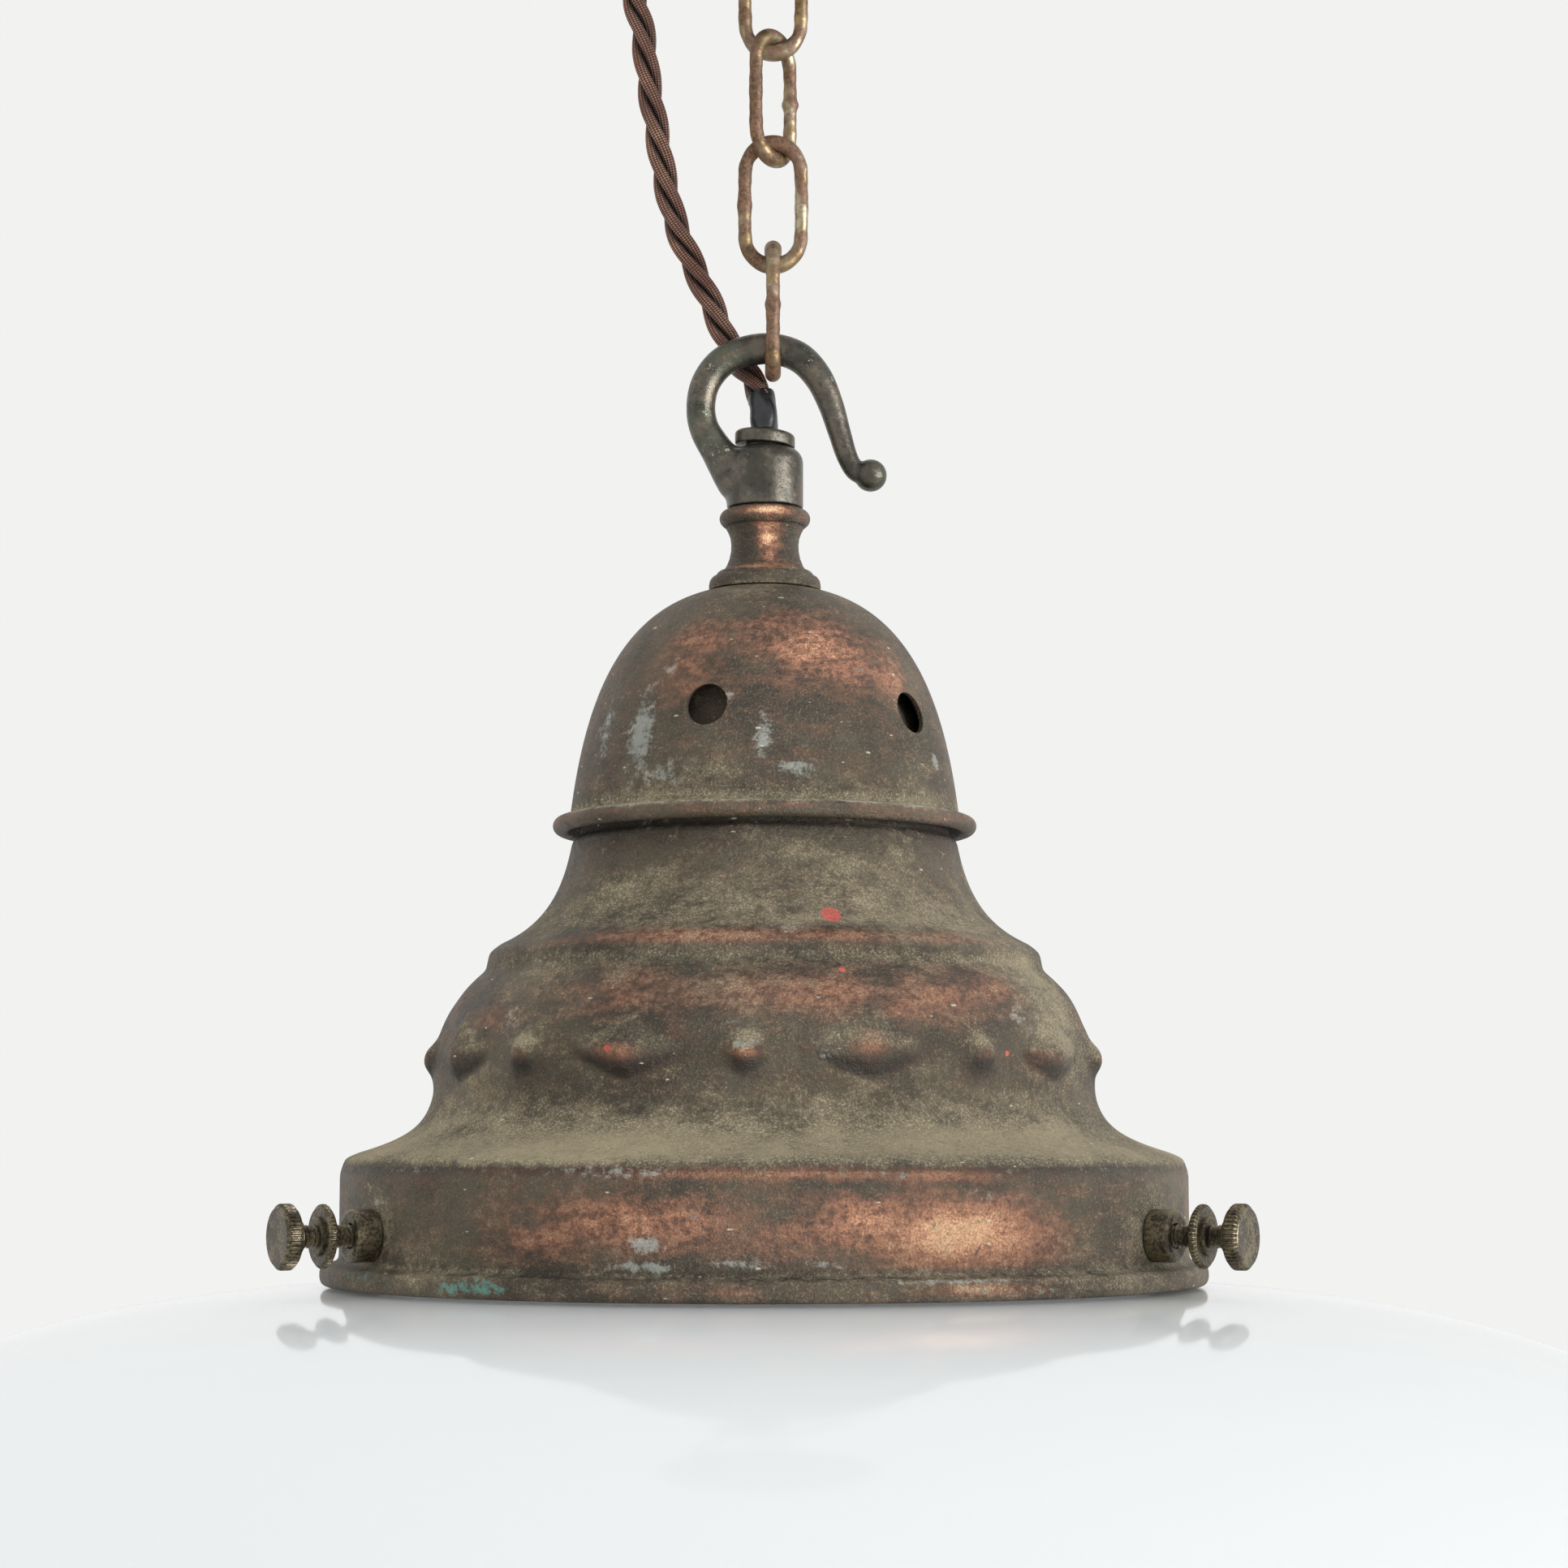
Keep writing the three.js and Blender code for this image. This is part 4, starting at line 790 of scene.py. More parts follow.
def make_cap(material):
    """Dome cap: its outer line is one cubic curve from the neck to the foot, ending in a wired bead
    whose upper side carries a painted highlight: a sheen laid on as rub and a pale line laid on as scuff."""
    corner = (0, CAP_FOOT[1])
    top = (CAP_FOOT[0], CAP_SEAT)
    seat = (NECK_FOOT, CAP_SEAT)
    dome = bent(seat, between(corner, top, 0.79, 0.9), between(corner, top, 0.937, 0.447), CAP_FOOT, 60)
    line = spaced(np.vstack([[(NIPPLE_HOLE, CAP_SEAT)], dome]), 0.45)
    bead = arc(CAP_BEAD, CAP_BEAD_RADIUS, 2.0, -4.4, 28)
    inside = walled(line, CAP_WALL)
    inside = inside[inside[:, 0] >= NIPPLE_HOLE]
    grid = lathe(np.vstack([line, bead, inside]), 360)
    front, height = front_angle(grid), grid[..., 2] - FLANGE_Z
    outer = np.concatenate([np.ones(len(line) + len(bead)), np.zeros(len(inside))])[:, None]
    # shine and glint paint a highlight on the bead's upper side
    shine, glint = np.zeros((2, len(grid), 1))
    row = np.arange(len(bead))[:, None]
    shine[len(line):len(line) + len(bead)] = 0.3 * np.exp(-((row - 9) / 6.0) ** 2)
    glint[len(line):len(line) + len(bead)] = 0.75 * np.exp(-((row - 6) / 2.0) ** 2)
    # Inner faces get a flat dust value, which in the cap is partly painted light seen through the vents
    marks = {
        "dust_and_light": [(levels(height, CAP_DUST) + patches(front, height, CAP_CRUST_AND_LIGHT)) * outer + 0.4 * (1 - outer)],
        "rub_and_highlight": [np.maximum(patches(front, height, CAP_RUBS) * outer, shine)],
        "grime_and_shade": [levels(height, CAP_GRIME_AND_SHADE)],
        "scuff_and_highlight": [patches(front, height, CAP_SCUFFS) * outer + glint],
    }
    vent = rod(VENT_RADIUS, 20, 40, 48)
    vents = [outwards(vent, VENT_TURN + 360 * i / VENT_COUNT, VENT_HEIGHT) for i in range(VENT_COUNT)]
    made("spun_dome_cap", [grid], material, "lamp", "dome_cap", 40, True, marks, [vents])


def pressed(front, height):
    """Ornament pressed out of the bulge. A knob is two bell curves of the distance from its middle.
    Between knobs stands a pointed form, widest across: its rise is 1 - |x|^p - |y|^q, with powers below
    one above, where the flanks are hollow, and q near two below, where it ends in a round lip with a
    groove under it. The relief is softened by a running mean over neighbours both ways, and the sheet
    also waves slightly all round, as a sum of sines."""
    knob_x, form_x = (
        np.radians(turned_from(np.degrees(front), STUD_TURN + aside, STUD_SPACING)) * BULGE[0]
        for aside in (0, STUD_SPACING / 2))
    y = height - STUD_HEIGHT
    away = np.hypot(knob_x, y)
    knob = 0.8 * np.exp(-(away / 2.6) ** 4) + 0.4 * np.exp(-(away / 4.6) ** 2)
    x = np.abs(form_x)
    y = y - 0.8
    form = 1 - (x / 10) ** 0.9 - np.where(y > 0, (np.abs(y) / 7) ** 0.9, (np.abs(y) / 5) ** 1.8)
    star = np.clip(form, 0, 1) ** 0.75
    groove = 0.55 * np.exp(-((form + 0.14) / 0.16) ** 2) * (y < 0.5) * (x < 10)
    relief = np.where((height > 30) & (height < 52), STUD_RISE * (knob + 1.1 * star) - groove, 0)
    for _ in range(3):
        relief = (np.roll(relief, 1, axis=1) + 2 * relief + np.roll(relief, -1, axis=1)) / 4
        relief[1:-1] = (relief[:-2] + 2 * relief[1:-1] + relief[2:]) / 4
    swell = np.clip((height - 28) / 6, 0, 1) * np.clip((56 - height) / 4, 0, 1)
    wave = (np.sin(9 * front + 0.7) * np.sin(height * 0.5) + 0.7 * np.sin(14 * front - height * 0.33)
            + 0.5 * np.sin(23 * front + height * 0.71 + 1.1))
    return relief + 0.11 * swell * wave


def gallery_line():
    """Outer line of the gallery, from the crown's hole down to the flange: straight lines and cubic
    curves, whose pulls are shares of the way between their ends."""
    crown = bent((11.3, CROWN_TOP), (COLLAR[0] * 0.7, CROWN_TOP),
                 between((0, COLLAR[1]), (COLLAR[0], CROWN_TOP), 0.9, 0.48), COLLAR)
    upper, bulge, cove = (
        bent(start, between(start, end, *first), between(start, end, *second), end)
        for start, end, first, second in (
            (THROAT, RIDGE_TOP, (0.12, 0.46), (0.35, 0.8)), (BULGE_TOP, BULGE, (0.55, 0.25), (0.95, 0.6)),
            (COVE_TOP, BAND_TOP, (0, 0.61), (0.35, 0.8))))
    edge = (BAND_RADIUS, BAND_HEIGHT - 1.6)
    return np.vstack([
        [(NIPPLE_HOLE, CROWN_TOP)], crown, [COLLAR_FOOT], upper, [RIDGE], bulge, cove,
        [between(BAND_TOP, edge, 0.72, 0.28), edge, (BAND_RADIUS, 4.7), (77.3, 4.2)],
        [(78.2, FLANGE_HEIGHT), (79.2, 3.75)],
    ])


def make_gallery(material):
    """Gallery: one sheet turned from its line, with the pressed ornament added to the radius of both
    faces, and drilled for the crown's vents and the three screws."""
    line = rounded(gallery_line(), LINE_STEP, 0.5)
    rim = np.vstack([
        bent((79.2, 3.75), (80, 3.6), (FLANGE_RADIUS, 2.9), (FLANGE_RADIUS, 1.9), 6)[1:],
        bent((FLANGE_RADIUS, 1.9), (FLANGE_RADIUS, 1.0), (80, 0.3), (79.2, 0.05), 6)[1:], [(75.8, 0.05)],
    ])
    inside = walled(line, GALLERY_WALL)
    inside = inside[(inside[:, 0] >= NIPPLE_HOLE) & (inside[:, 1] > 3.2)][::3]
    grid = lathe(np.vstack([line, rim, inside]), 720, relief=pressed)
    front, height = front_angle(grid), grid[..., 2] - FLANGE_Z
    outer = np.concatenate([np.ones(len(line) + len(rim)), np.zeros(len(inside))])[:, None]
    relief = pressed(np.radians(front), height)
    facing = np.gradient(relief, axis=0) / LINE_STEP
    spots, near = np.zeros((2, *height.shape))
    for at, level, radius in GALLERY_SPOTS:
        aside = np.radians(turned_from(front, at)) * np.hypot(grid[..., 0] - LAMP_X, grid[..., 1])
        spots = np.maximum(spots, 1 - np.hypot(aside, (height - level) * 1.3) / (2 * radius))
    for at in SCREW_ANGLES:
        aside = np.radians(turned_from(front, at)) * BAND_RADIUS
        near = np.maximum(near, np.exp(-(np.hypot(aside, height - 11.5) / 7) ** 4))
    top = np.clip(relief / STUD_RISE - 0.55, 0, 0.5)
    # facing makes the ornament's upper flanks paler, partly dust and partly painted light, and darkens its
    # lower flanks as painted shade
    marks = {
        "dust_and_light": [(levels(height, GALLERY_DUST) + np.clip(facing * 1.2, -0.28, 0.9) + 0.5 * near
                  + patches(front, height, GALLERY_CRUST_AND_LIGHT)) * outer + 0.3 * (1 - outer)],
        "rub_and_highlight": [(patches(front, height, GALLERY_RUBS_AND_HIGHLIGHT) + top * 0.8) * outer],
        "grime_and_shade": [levels(height, GALLERY_GRIME_AND_SHADE) + np.clip(-facing * 0.9, 0, 0.5) * outer + 0.4 * near],
        "scuff_and_highlight": [patches(front, height, GALLERY_SCUFFS) * outer],
        "green": [patches(front, height, GALLERY_GREEN) * outer],
        "spot": [np.clip(spots, 0, 1) * outer],
    }
    vent = rod(CROWN_VENT_RADIUS, 112, 121) + (LAMP_X, 0, FLANGE_Z)
    turns = [math.radians(CROWN_VENT_TURN + 360 * i / VENT_COUNT) for i in range(VENT_COUNT)]
    drills = [vent + (CROWN_VENT_PLACE * math.sin(a), -CROWN_VENT_PLACE * math.cos(a), 0) for a in turns]
    drills += [outwards(rod(SCREW_HOLE, 74, 78), at, SCREW_HEIGHT) for at in SCREW_ANGLES]
    made("pressed_gallery", [grid], material, "lamp", "gallery_body", 45, True, marks, [drills])


# Thumb screws

def knurled(radius, low, high, bevel, dish=0.0):
    """Knurled disc: its line is a bevelled rectangle, and on the rim the radius drops by the knurl's
    depth between teeth, as a cosine of the angle raised to leave flat-topped teeth."""
    core = radius - KNURL_DEPTH
    line = spaced([
        (0, low), (core - bevel, low), (core, low + bevel), (radius, low + bevel + 0.25),
        (radius, high - bevel - 0.25), (core, high - bevel), (core - bevel, high), (0, high - dish),
    ], 0.16)
    around = KNURL_TEETH * 8
    teeth = np.clip(0.5 + 0.9 * np.cos(KNURL_TEETH * FULL_TURN * np.arange(around) / around), 0, 1)
    near = np.clip((line[:, 0] - (radius - 0.55)) / 0.4, 0, 1)[:, None]
    grid = lathe(line, around, (0, 0, 0))
    grid[..., :2] *= (1 - KNURL_DEPTH * (1 - teeth) * near / radius)[..., None]
    return grid


def threaded(radius, low, high):
    """Threaded rod: the radius drops with the distance from the helix that climbs one pitch a turn."""
    line = np.arange(low, high, THREAD_PITCH / 8)
    a = FULL_TURN * np.arange(32) / 32
    phase = np.mod(line[:, None] / THREAD_PITCH - a[None] / FULL_TURN, 1)
    r = radius - THREAD_DEPTH * (1 - np.abs(2 * phase - 1))
    return np.stack([r * np.cos(a), r * np.sin(a), np.broadcast_to(line[:, None], r.shape)], axis=2)


def hub(radius, low, high):
    """Short round collar: a turned rectangle with its two outer corners cut off by HUB_EASE."""
    flat = radius - HUB_EASE
    return lathe([(0, low), (flat, low), (radius, low + HUB_EASE), (radius, high - HUB_EASE),
                  (flat, high), (0, high)], 48, (0, 0, 0))


def make_screws(material):
    """Three bosses, lock nuts and thumb screws, all turned about one axis and stood out at each angle."""
    boss = lathe(np.vstack([
        [(BOSS_BORE, BOSS[0]), (BOSS_RADIUS, BOSS[0]), (BOSS_RADIUS, BOSS[1] - 1.2)],
        arc((BOSS_RADIUS - 0.9, BOSS[1] - 0.9), 0.9, 0, math.pi / 2, 8),
        [(BOSS_BORE + 1, BOSS[1]), (BOSS_BORE, BOSS[1] - 0.4)],
    ]), 48, (0, 0, 0))
    nut = [knurled(NUT_RADIUS, *NUT, 0.25), hub(NUT_HUB, NUT[1] - 0.4, NUT[1] + 0.7)]
    point = lathe([(0, SCREW_TIP), (1, SCREW_TIP), (1.7, SCREW_TIP + 1), (1.7, SCREW_TIP + 1.4),
                   (0, SCREW_TIP + 1.4)], 32, (0, 0, 0))
    screw = [knurled(HEAD_RADIUS, *HEAD, 0.4, 0.15), hub(HEAD_HUB, HEAD[0] - 1.1, HEAD[0] + 0.4),
             threaded(SHANK_RADIUS, SCREW_TIP + 1, HEAD[0] + 0.6), point]
    for i, at in enumerate(SCREW_ANGLES, 1):
        for name, grids, body, node, sharp, closed in (
                ("turned_boss", [boss], "lamp", "screw_boss", 35, True),
                ("knurled_lock_nut", nut, f"lock_nut_{i}", "lock_nut", 28, False),
                ("knurled_thumb_screw", screw, f"thumb_screw_{i}", "thumb_screw", 28, False)):
            stood = [outwards(grid, at, SCREW_HEIGHT) for grid in grids]
            made(f"{name}_{i}", stood, material, body, f"{node}_{i}", sharp, closed)


# Glass, holder and bulb

def shade_dome(radius, top, drop, steps=90):
    """Dome line: the radius follows the square root of a sine and the height falls with the cosine."""
    first = math.asin(((SHADE_NECK + 3) / SHADE_RADIUS) ** 2)
    a = np.linspace(first, math.pi / 2, steps)
    return np.stack([radius * np.sqrt(np.sin(a)), top - drop * (1 - np.cos(a))], axis=1)


def make_shade(material):
    """Glass turned from its profile: a rolled lip, a neck, the dome, a skirt that tucks in below its
    widest place and a rim rounded as half an ellipse, with the same lines inside it by the wall."""
    equator = SHADE_CREST - SHADE_DROP
    neck = SHADE_NECK - SHADE_WALL
    dome = shade_dome(SHADE_RADIUS, SHADE_CREST, SHADE_DROP)
    under = shade_dome(SHADE_RADIUS - SHADE_WALL, SHADE_CREST - SHADE_WALL, SHADE_DROP - SHADE_WALL)[::-1]
    lip = (SHADE_LIP - 1, SHADE_LIP_TOP - 1)
    fold = bent((SHADE_NECK, SHADE_CREST + 4), (SHADE_NECK, SHADE_CREST + 1),
                (SHADE_NECK + 0.9, SHADE_CREST - 0.1), dome[0], 10)
    foot = (SHADE_RADIUS - SHADE_TUCK, SHADE_RIM + SHADE_RIM_ROUND)
    skirt = bent(dome[-1], (SHADE_RADIUS, equator - 4), (foot[0] + 0.4, equator - 8), foot, 12)
    back = skirt[::-1] - (SHADE_WALL, 0)
    rim = arc((0, 0), 1, 0, -math.pi, 10) * (SHADE_WALL / 2, SHADE_RIM_ROUND)
    rim = rim + (foot[0] - SHADE_WALL / 2, foot[1])
    profile = np.vstack([
        [(neck, SHADE_LIP_TOP), (lip[0], SHADE_LIP_TOP)], arc(lip, 1, math.pi / 2, -math.pi / 2, 6),
        [(SHADE_LIP, SHADE_LIP_BASE + 1), (SHADE_NECK, SHADE_LIP_BASE)],
        fold, dome[1:], skirt[1:], rim[1:-1], back[:-1], under, [(neck, SHADE_CREST + 1)],
    ])
    made("opal_glass_shade", [lathe(profile, 256)], material, "lamp", "opal_shade", 50, True)


def make_holder(brass, pearl):
    """Holder cap, slotted barrel, shade ring, bulb cap with its pins, and bulb: each turned from its
    profile. The bulb's line is a cubic curve from its neck into a circle."""
    skirt = 5.0
    top = HOLDER_TOP - skirt
    foot = HOLDER_BASE + skirt
    inside = HOLDER_RADIUS - HOLDER_WALL
    bore = HOLDER_HOLE - HOLDER_WALL
    outer = np.vstack([
        [(NIPPLE_HOLE, HOLDER_TOP), (HOLDER_HOLE, HOLDER_TOP), (HOLDER_HOLE, top)],
        bent((HOLDER_HOLE, top), (HOLDER_RADIUS, top), (HOLDER_RADIUS, top), (HOLDER_RADIUS, foot), 14),
        [(HOLDER_RADIUS, HOLDER_BASE), (inside, HOLDER_BASE), (inside, foot)],
        bent((inside, foot), (inside - 0.1, top - 1.4), (12, top - 1.2), (bore, top - 1.2), 14),
        [(bore, 102.2), (NIPPLE_HOLE, 102.2)],
    ])
    made("spun_holder_cap", [lathe(outer, 96)], brass, "lamp", "holder_cap", 40, True)

    wall = BARREL_RADIUS - HOLDER_WALL
    barrel = np.array([
        (wall, BARREL_BASE), (BARREL_RADIUS - 0.2, BARREL_BASE), (BARREL_RADIUS, BARREL_BASE + 0.2),
        (BARREL_RADIUS, BARREL_TOP), (wall, BARREL_TOP), (wall, BARREL_BASE),
    ])
    slots = block((-15.5, -1.6, 61), (12.5, 1.6, 77.7)) + (0, 0, FLANGE_Z)
    made("holder_barrel_tube", [lathe(spaced(barrel, 0.9)[:-1], 128)], brass, "lamp", "holder_barrel", 40, True,
         drills=[[slots]])

    ring = np.vstack([
        [(RING_BORE, RING[0]), (RING_RADIUS - 0.5, RING[0])],
        arc((RING_RADIUS - 0.5, RING[0] + 0.5), 0.5, -math.pi / 2, math.pi / 2, 6),
        arc((RING_RADIUS - 0.5, RING[1] - 0.5), 0.5, 0, math.pi / 2, 6), [(RING_BORE, RING[1])],
    ])
    made("shade_ring", [lathe(ring, 240)], brass, "lamp", "holder_ring", 40, True)

    cap = np.vstack([
        [(0, BULB_CAP[0]), (10.8, BULB_CAP[0]), (BULB_CAP_RADIUS, BULB_CAP[0] + 0.3)],
        [(BULB_CAP_RADIUS, BULB_CAP[1] - 2)],
        arc((BULB_CAP_RADIUS - 2, BULB_CAP[1] - 2), 2, 0, math.pi / 2, 8), [(0, BULB_CAP[1])],
    ])
    pins = lathe([(0, -PIN_REACH), (0.9, -PIN_REACH), (PIN_RADIUS, -12.4), (PIN_RADIUS, 12.4),
                  (0.9, PIN_REACH), (0, PIN_REACH)], 24, (0, 0, 0))
    pins = pins[..., ::-1] + (LAMP_X, 0, FLANGE_Z + PIN_HEIGHT)
    made("bulb_cap_shell", [lathe(cap, 96), pins], brass, "bulb", "bulb_cap", 40)

    start = (BULB_NECK, BULB_TOP - 5)
    rise = start[1] - BULB_CENTRE
    glass = np.vstack([
        [(0, BULB_TOP), (BULB_NECK, BULB_TOP)],
        bent(start, (BULB_NECK, start[1] - rise * 0.4), (BULB_RADIUS, BULB_CENTRE + rise * 0.45),
             (BULB_RADIUS, BULB_CENTRE), 40),
        arc((0, BULB_CENTRE), BULB_RADIUS, 0, -math.pi / 2, 30)[1:],
    ])
    made("pearl_bulb", [lathe(glass, 128)], pearl, "bulb", "bulb_glass", 50)


# Materials

# Fractal noise, and the inputs that its rows give: a place, cells per metre, detail and roughness
NOISE = ("ShaderNodeTexNoise", ("Vector", "Scale", "Detail", "Roughness"))


def own_place(tree):
    """The object's own metres."""
    return (add(tree, "ShaderNodeTexCoord"), "Object")


def lamp_place(tree, scale=(1, 1, 1)):
    """The object's own metres, measured from the lamp's axis, stretched by the scale."""
    return add(tree, "ShaderNodeMapping", {0: own_place(tree), 1: (-LAMP_X * MM * scale[0], 0, 0), 3: scale})


def swung(tree, base, *swings):
    """A base value plus each noise's distance from a half times its strength."""
    for source, strength in swings:
        half = add(tree, "ShaderNodeMath", {0: source, 1: strength, 2: -strength / 2}, operation="MULTIPLY_ADD")
        base = add(tree, "ShaderNodeMath", {0: base, 1: half}, operation="ADD")
    return base


def each(tree, kind, names, *rows):
    """Adds a node of one kind for each row of its inputs' values."""
    return [add(tree, kind, dict(zip(names, row))) for row in rows]


def laid(tree, below, above, low, high, most, base, *swings):
    """Lays one colour over another. Its share is nothing where the swung base value is at most low, the
    most where it is at least high, and a smooth step between. Gives back the colour and the share."""
    share = add(tree, "ShaderNodeMapRange", {0: swung(tree, base, *swings), 1: low, 2: high, 3: 0.0, 4: most},
                interpolation_type="SMOOTHSTEP")
    below, above = (linear(c) if isinstance(c, str) else c for c in (below, above))
    return (add(tree, "ShaderNodeMix", {0: share, 6: below, 7: above}, data_type="RGBA"), 2), share


def coats(tree, colour, *rows):
    """Lays coats over a colour, each a row of what laid takes after the colour below."""
    for row in rows:
        colour = laid(tree, colour, *row)[0]
    return colour


def finished(tree, bump=None, **inputs):
    """Ends a material with one shader. A bump gives its height, its depth in metres and its strength."""
    if bump:
        values = dict(zip(("Height", "Distance", "Strength"), bump))
        inputs["normal"] = add(tree, "ShaderNodeBump", values)
    names = {key.replace("_", " ").title().replace("Ior", "IOR"): value for key, value in inputs.items()}
    add(tree, "ShaderNodeOutputMaterial", {0: add(tree, "ShaderNodeBsdfPrincipled", names)})


def patinated_copper():
    """Copper that was bronzed brown and has hung for decades: a dull olive-brown skin, worn through
    red cuprite to warm metal where it gets rubbed, with a pale gold painted highlight where the rubs are
    strongest, black grime and painted shade in its creases and under its ledges, khaki dust on every ledge
    and paler painted light on its right side and the ornament's upper flanks, grey scuffs and a painted
    highlight line on the cap's bead, a few pale scratches, verdigris by the rim and spots of coral paint."""
    material, tree = new_material("patinated_copper")
    place, flat = (lamp_place(tree, (1, 1, tall)) for tall in (1, 2.6))
    cloud, blotch, grit, sand, stray = each(
        tree, *NOISE, (place, 42.0, 6.0, 0.6), (flat, 150.0, 8.0, 0.7), (place, 700.0, 6.0, 0.75),
        (place, 2600.0, 3.0, 0.65), (place, 38.0, 2.0, 0.6))
    dust_and_light, rub_and_highlight, grime_and_shade, scuff_and_highlight, green, spot = (
        (add(tree, "ShaderNodeAttribute", attribute_name=key), "Fac")
        for key in ("dust_and_light", "rub_and_highlight", "grime_and_shade", "scuff_and_highlight", "green", "spot"))

    skin = coats(
        tree, "#484035", ("#615849", 0.38, 0.62, 1.0, cloud), ("#64493a", 0.44, 0.62, 0.65, blotch),
        ("#2b2722", 0.52, 0.66, 0.6, grit), ("#7f745a", 0.53, 0.68, 0.6, sand))
    red = coats(tree, "#724b3b", ("#9c6f58", 0.4, 0.6, 1.0, grit))
    warm = coats(tree, "#ab765a", ("#cf9f80", 0.38, 0.62, 1.0, sand))
    worn = coats(tree, skin, (red, 0.05, 0.75, 0.8, rub_and_highlight, (blotch, 1.4), (grit, 0.5)))
    worn, core = laid(tree, worn, warm, 0.42, 1.35, 0.9, rub_and_highlight, (blotch, 1.8), (grit, 0.8))
    dirt_light_and_shade = coats(
        # Palest coat: a painted highlight where the rubs are strongest
        tree, worn, ("#dfbd98", 0.8, 1.7, 0.85, rub_and_highlight, (blotch, 1.6), (grit, 0.6), (sand, 0.6)),
        # Near-black coat: grime, and painted shade in creases and under ledges
        ("#2c2823", 0.3, 1.0, 0.8, grime_and_shade, (blotch, 1.6), (cloud, 0.6), (grit, 0.8)))
    khaki = coats(
        tree, "#6f6550", ("#8c7f66", 0.4, 0.6, 1.0, cloud), ("#beb396", 0.46, 0.66, 0.8, sand),
        ("#ad9f80", 0.8, 1.8, 0.8, dust_and_light, (cloud, 1.2), (grit, 1.0)))
    # Dust coat: dust on ledges, with paler patches of painted light on the right side and on the ornament's
    # upper flanks
    dusted_and_lit, cover = laid(
        tree, dirt_light_and_shade, khaki, 0.2, 1.05, 0.92, dust_and_light, (cloud, 1.0), (blotch, 1.5), (grit, 1.7))

    # Pale flecks stand in some cells of a cell pattern, and scratches follow the edges of a larger one
    cell = add(tree, "ShaderNodeTexVoronoi", {"Vector": flat, "Scale": 210.0})
    pick = add(tree, "ShaderNodeSeparateColor", {0: (cell, "Color")})
    size = add(tree, "ShaderNodeMath", {0: (pick, 1), 1: 0.1, 2: 0.02}, operation="MULTIPLY_ADD")
    near = add(tree, "ShaderNodeMath", {0: swung(tree, cell, (grit, 0.3)), 1: size}, operation="LESS_THAN")
    some = add(tree, "ShaderNodeMath", {0: pick, 1: 0.62}, operation="GREATER_THAN")
    fleck = add(tree, "ShaderNodeMath", {0: near, 1: some}, operation="MULTIPLY")
    astray = add(tree, "ShaderNodeVectorMath", {0: (stray, "Color"), 1: (0.009, 0.009, 0.009), 2: place},
                 operation="MULTIPLY_ADD")
    edge = add(tree, "ShaderNodeTexVoronoi", {"Vector": astray, "Scale": 55.0}, feature="DISTANCE_TO_EDGE")
    line = add(tree, "ShaderNodeMath", {0: edge, 1: 0.006}, operation="LESS_THAN")
    scratch = add(tree, "ShaderNodeMath", {0: line, 1: swung(tree, 0.2, (blotch, 2.6))}, operation="MULTIPLY")
    dusted_and_lit = coats(
        tree, dusted_and_lit, ("#46352a", 0.58, 0.7, 0.6, grit, (dust_and_light, 0.02), (blotch, 0.4)),
        # Grey coat: scuffs, and on the cap's bead a painted highlight line
        ("#a3a79f", 0.42, 0.95, 0.75, scuff_and_highlight, (blotch, 1.8), (grit, 2.4)), ("#c6bea5", 0.0, 1.0, 0.85, fleck),
        ("#b3aa8e", 0.45, 0.75, 0.7, scratch), ("#649a8f", 0.7, 1.25, 0.75, green, (blotch, 1.8), (grit, 3.6)),
        ("#d4685c", 0.46, 0.54, 0.92, spot))
    tone = swung(tree, 1.03, (grit, 1.1), (sand, 0.6), (blotch, 0.9), (cloud, 0.5))
    dusted_and_lit = add(tree, "ShaderNodeHueSaturation", {"Value": tone, "Color": dusted_and_lit})

    open_metal = add(tree, "ShaderNodeMath", {0: core, 1: 0.5, 2: 0.45}, operation="MULTIPLY_ADD")
    bare = add(tree, "ShaderNodeMath", {0: 1.0, 1: cover}, operation="SUBTRACT")
    metallic = add(tree, "ShaderNodeMath", {0: open_metal, 1: bare}, operation="MULTIPLY")
    dull = add(tree, "ShaderNodeMath", {0: cover, 1: 0.5, 2: 0.46}, operation="MULTIPLY_ADD")
    dull = swung(tree, dull, (grit, 0.6), (core, -0.12))
    high = swung(tree, cover, (grit, 1.8), (blotch, 1.0), (sand, 0.8))
    finished(tree, (high, 0.0006, 0.6), base_color=dusted_and_lit, metallic=metallic, roughness=dull)
    return material


def cast_bronze():
    """Sand-cast bronze gone brown-black with handling: a soft sheen, a fine cast grain, greenish and
    brown tints and small pale chips."""
    material, tree = new_material("cast_bronze")
    place = lamp_place(tree)
    cloud, other, grain, patch = each(
        tree, *NOISE, (place, 170.0, 6.0, 0.65), (place, 90.0, 3.0, 0.6), (place, 1300.0, 5.0, 0.7),
        (place, 260.0, 5.0, 0.7))
    base = coats(
        tree, "#45423b", ("#676157", 0.38, 0.62, 1.0, cloud), ("#525a4c", 0.5, 0.64, 0.7, other),
        ("#6b5747", 0.54, 0.68, 0.5, cloud), ("#857a62", 0.58, 0.72, 0.7, grain, (cloud, 0.5)),
        ("#262422", 0.56, 0.68, 0.6, patch), ("#c9c5b4", 0.76, 0.84, 0.85, grain, (patch, 1.2), (other, 0.9)))
    rough = swung(tree, 0.32, (grain, 0.4), (cloud, 0.3))
    high = swung(tree, grain, (patch, 0.8))
    finished(tree, (high, 0.0004, 0.3), base_color=base, metallic=0.7, roughness=rough)
    return material


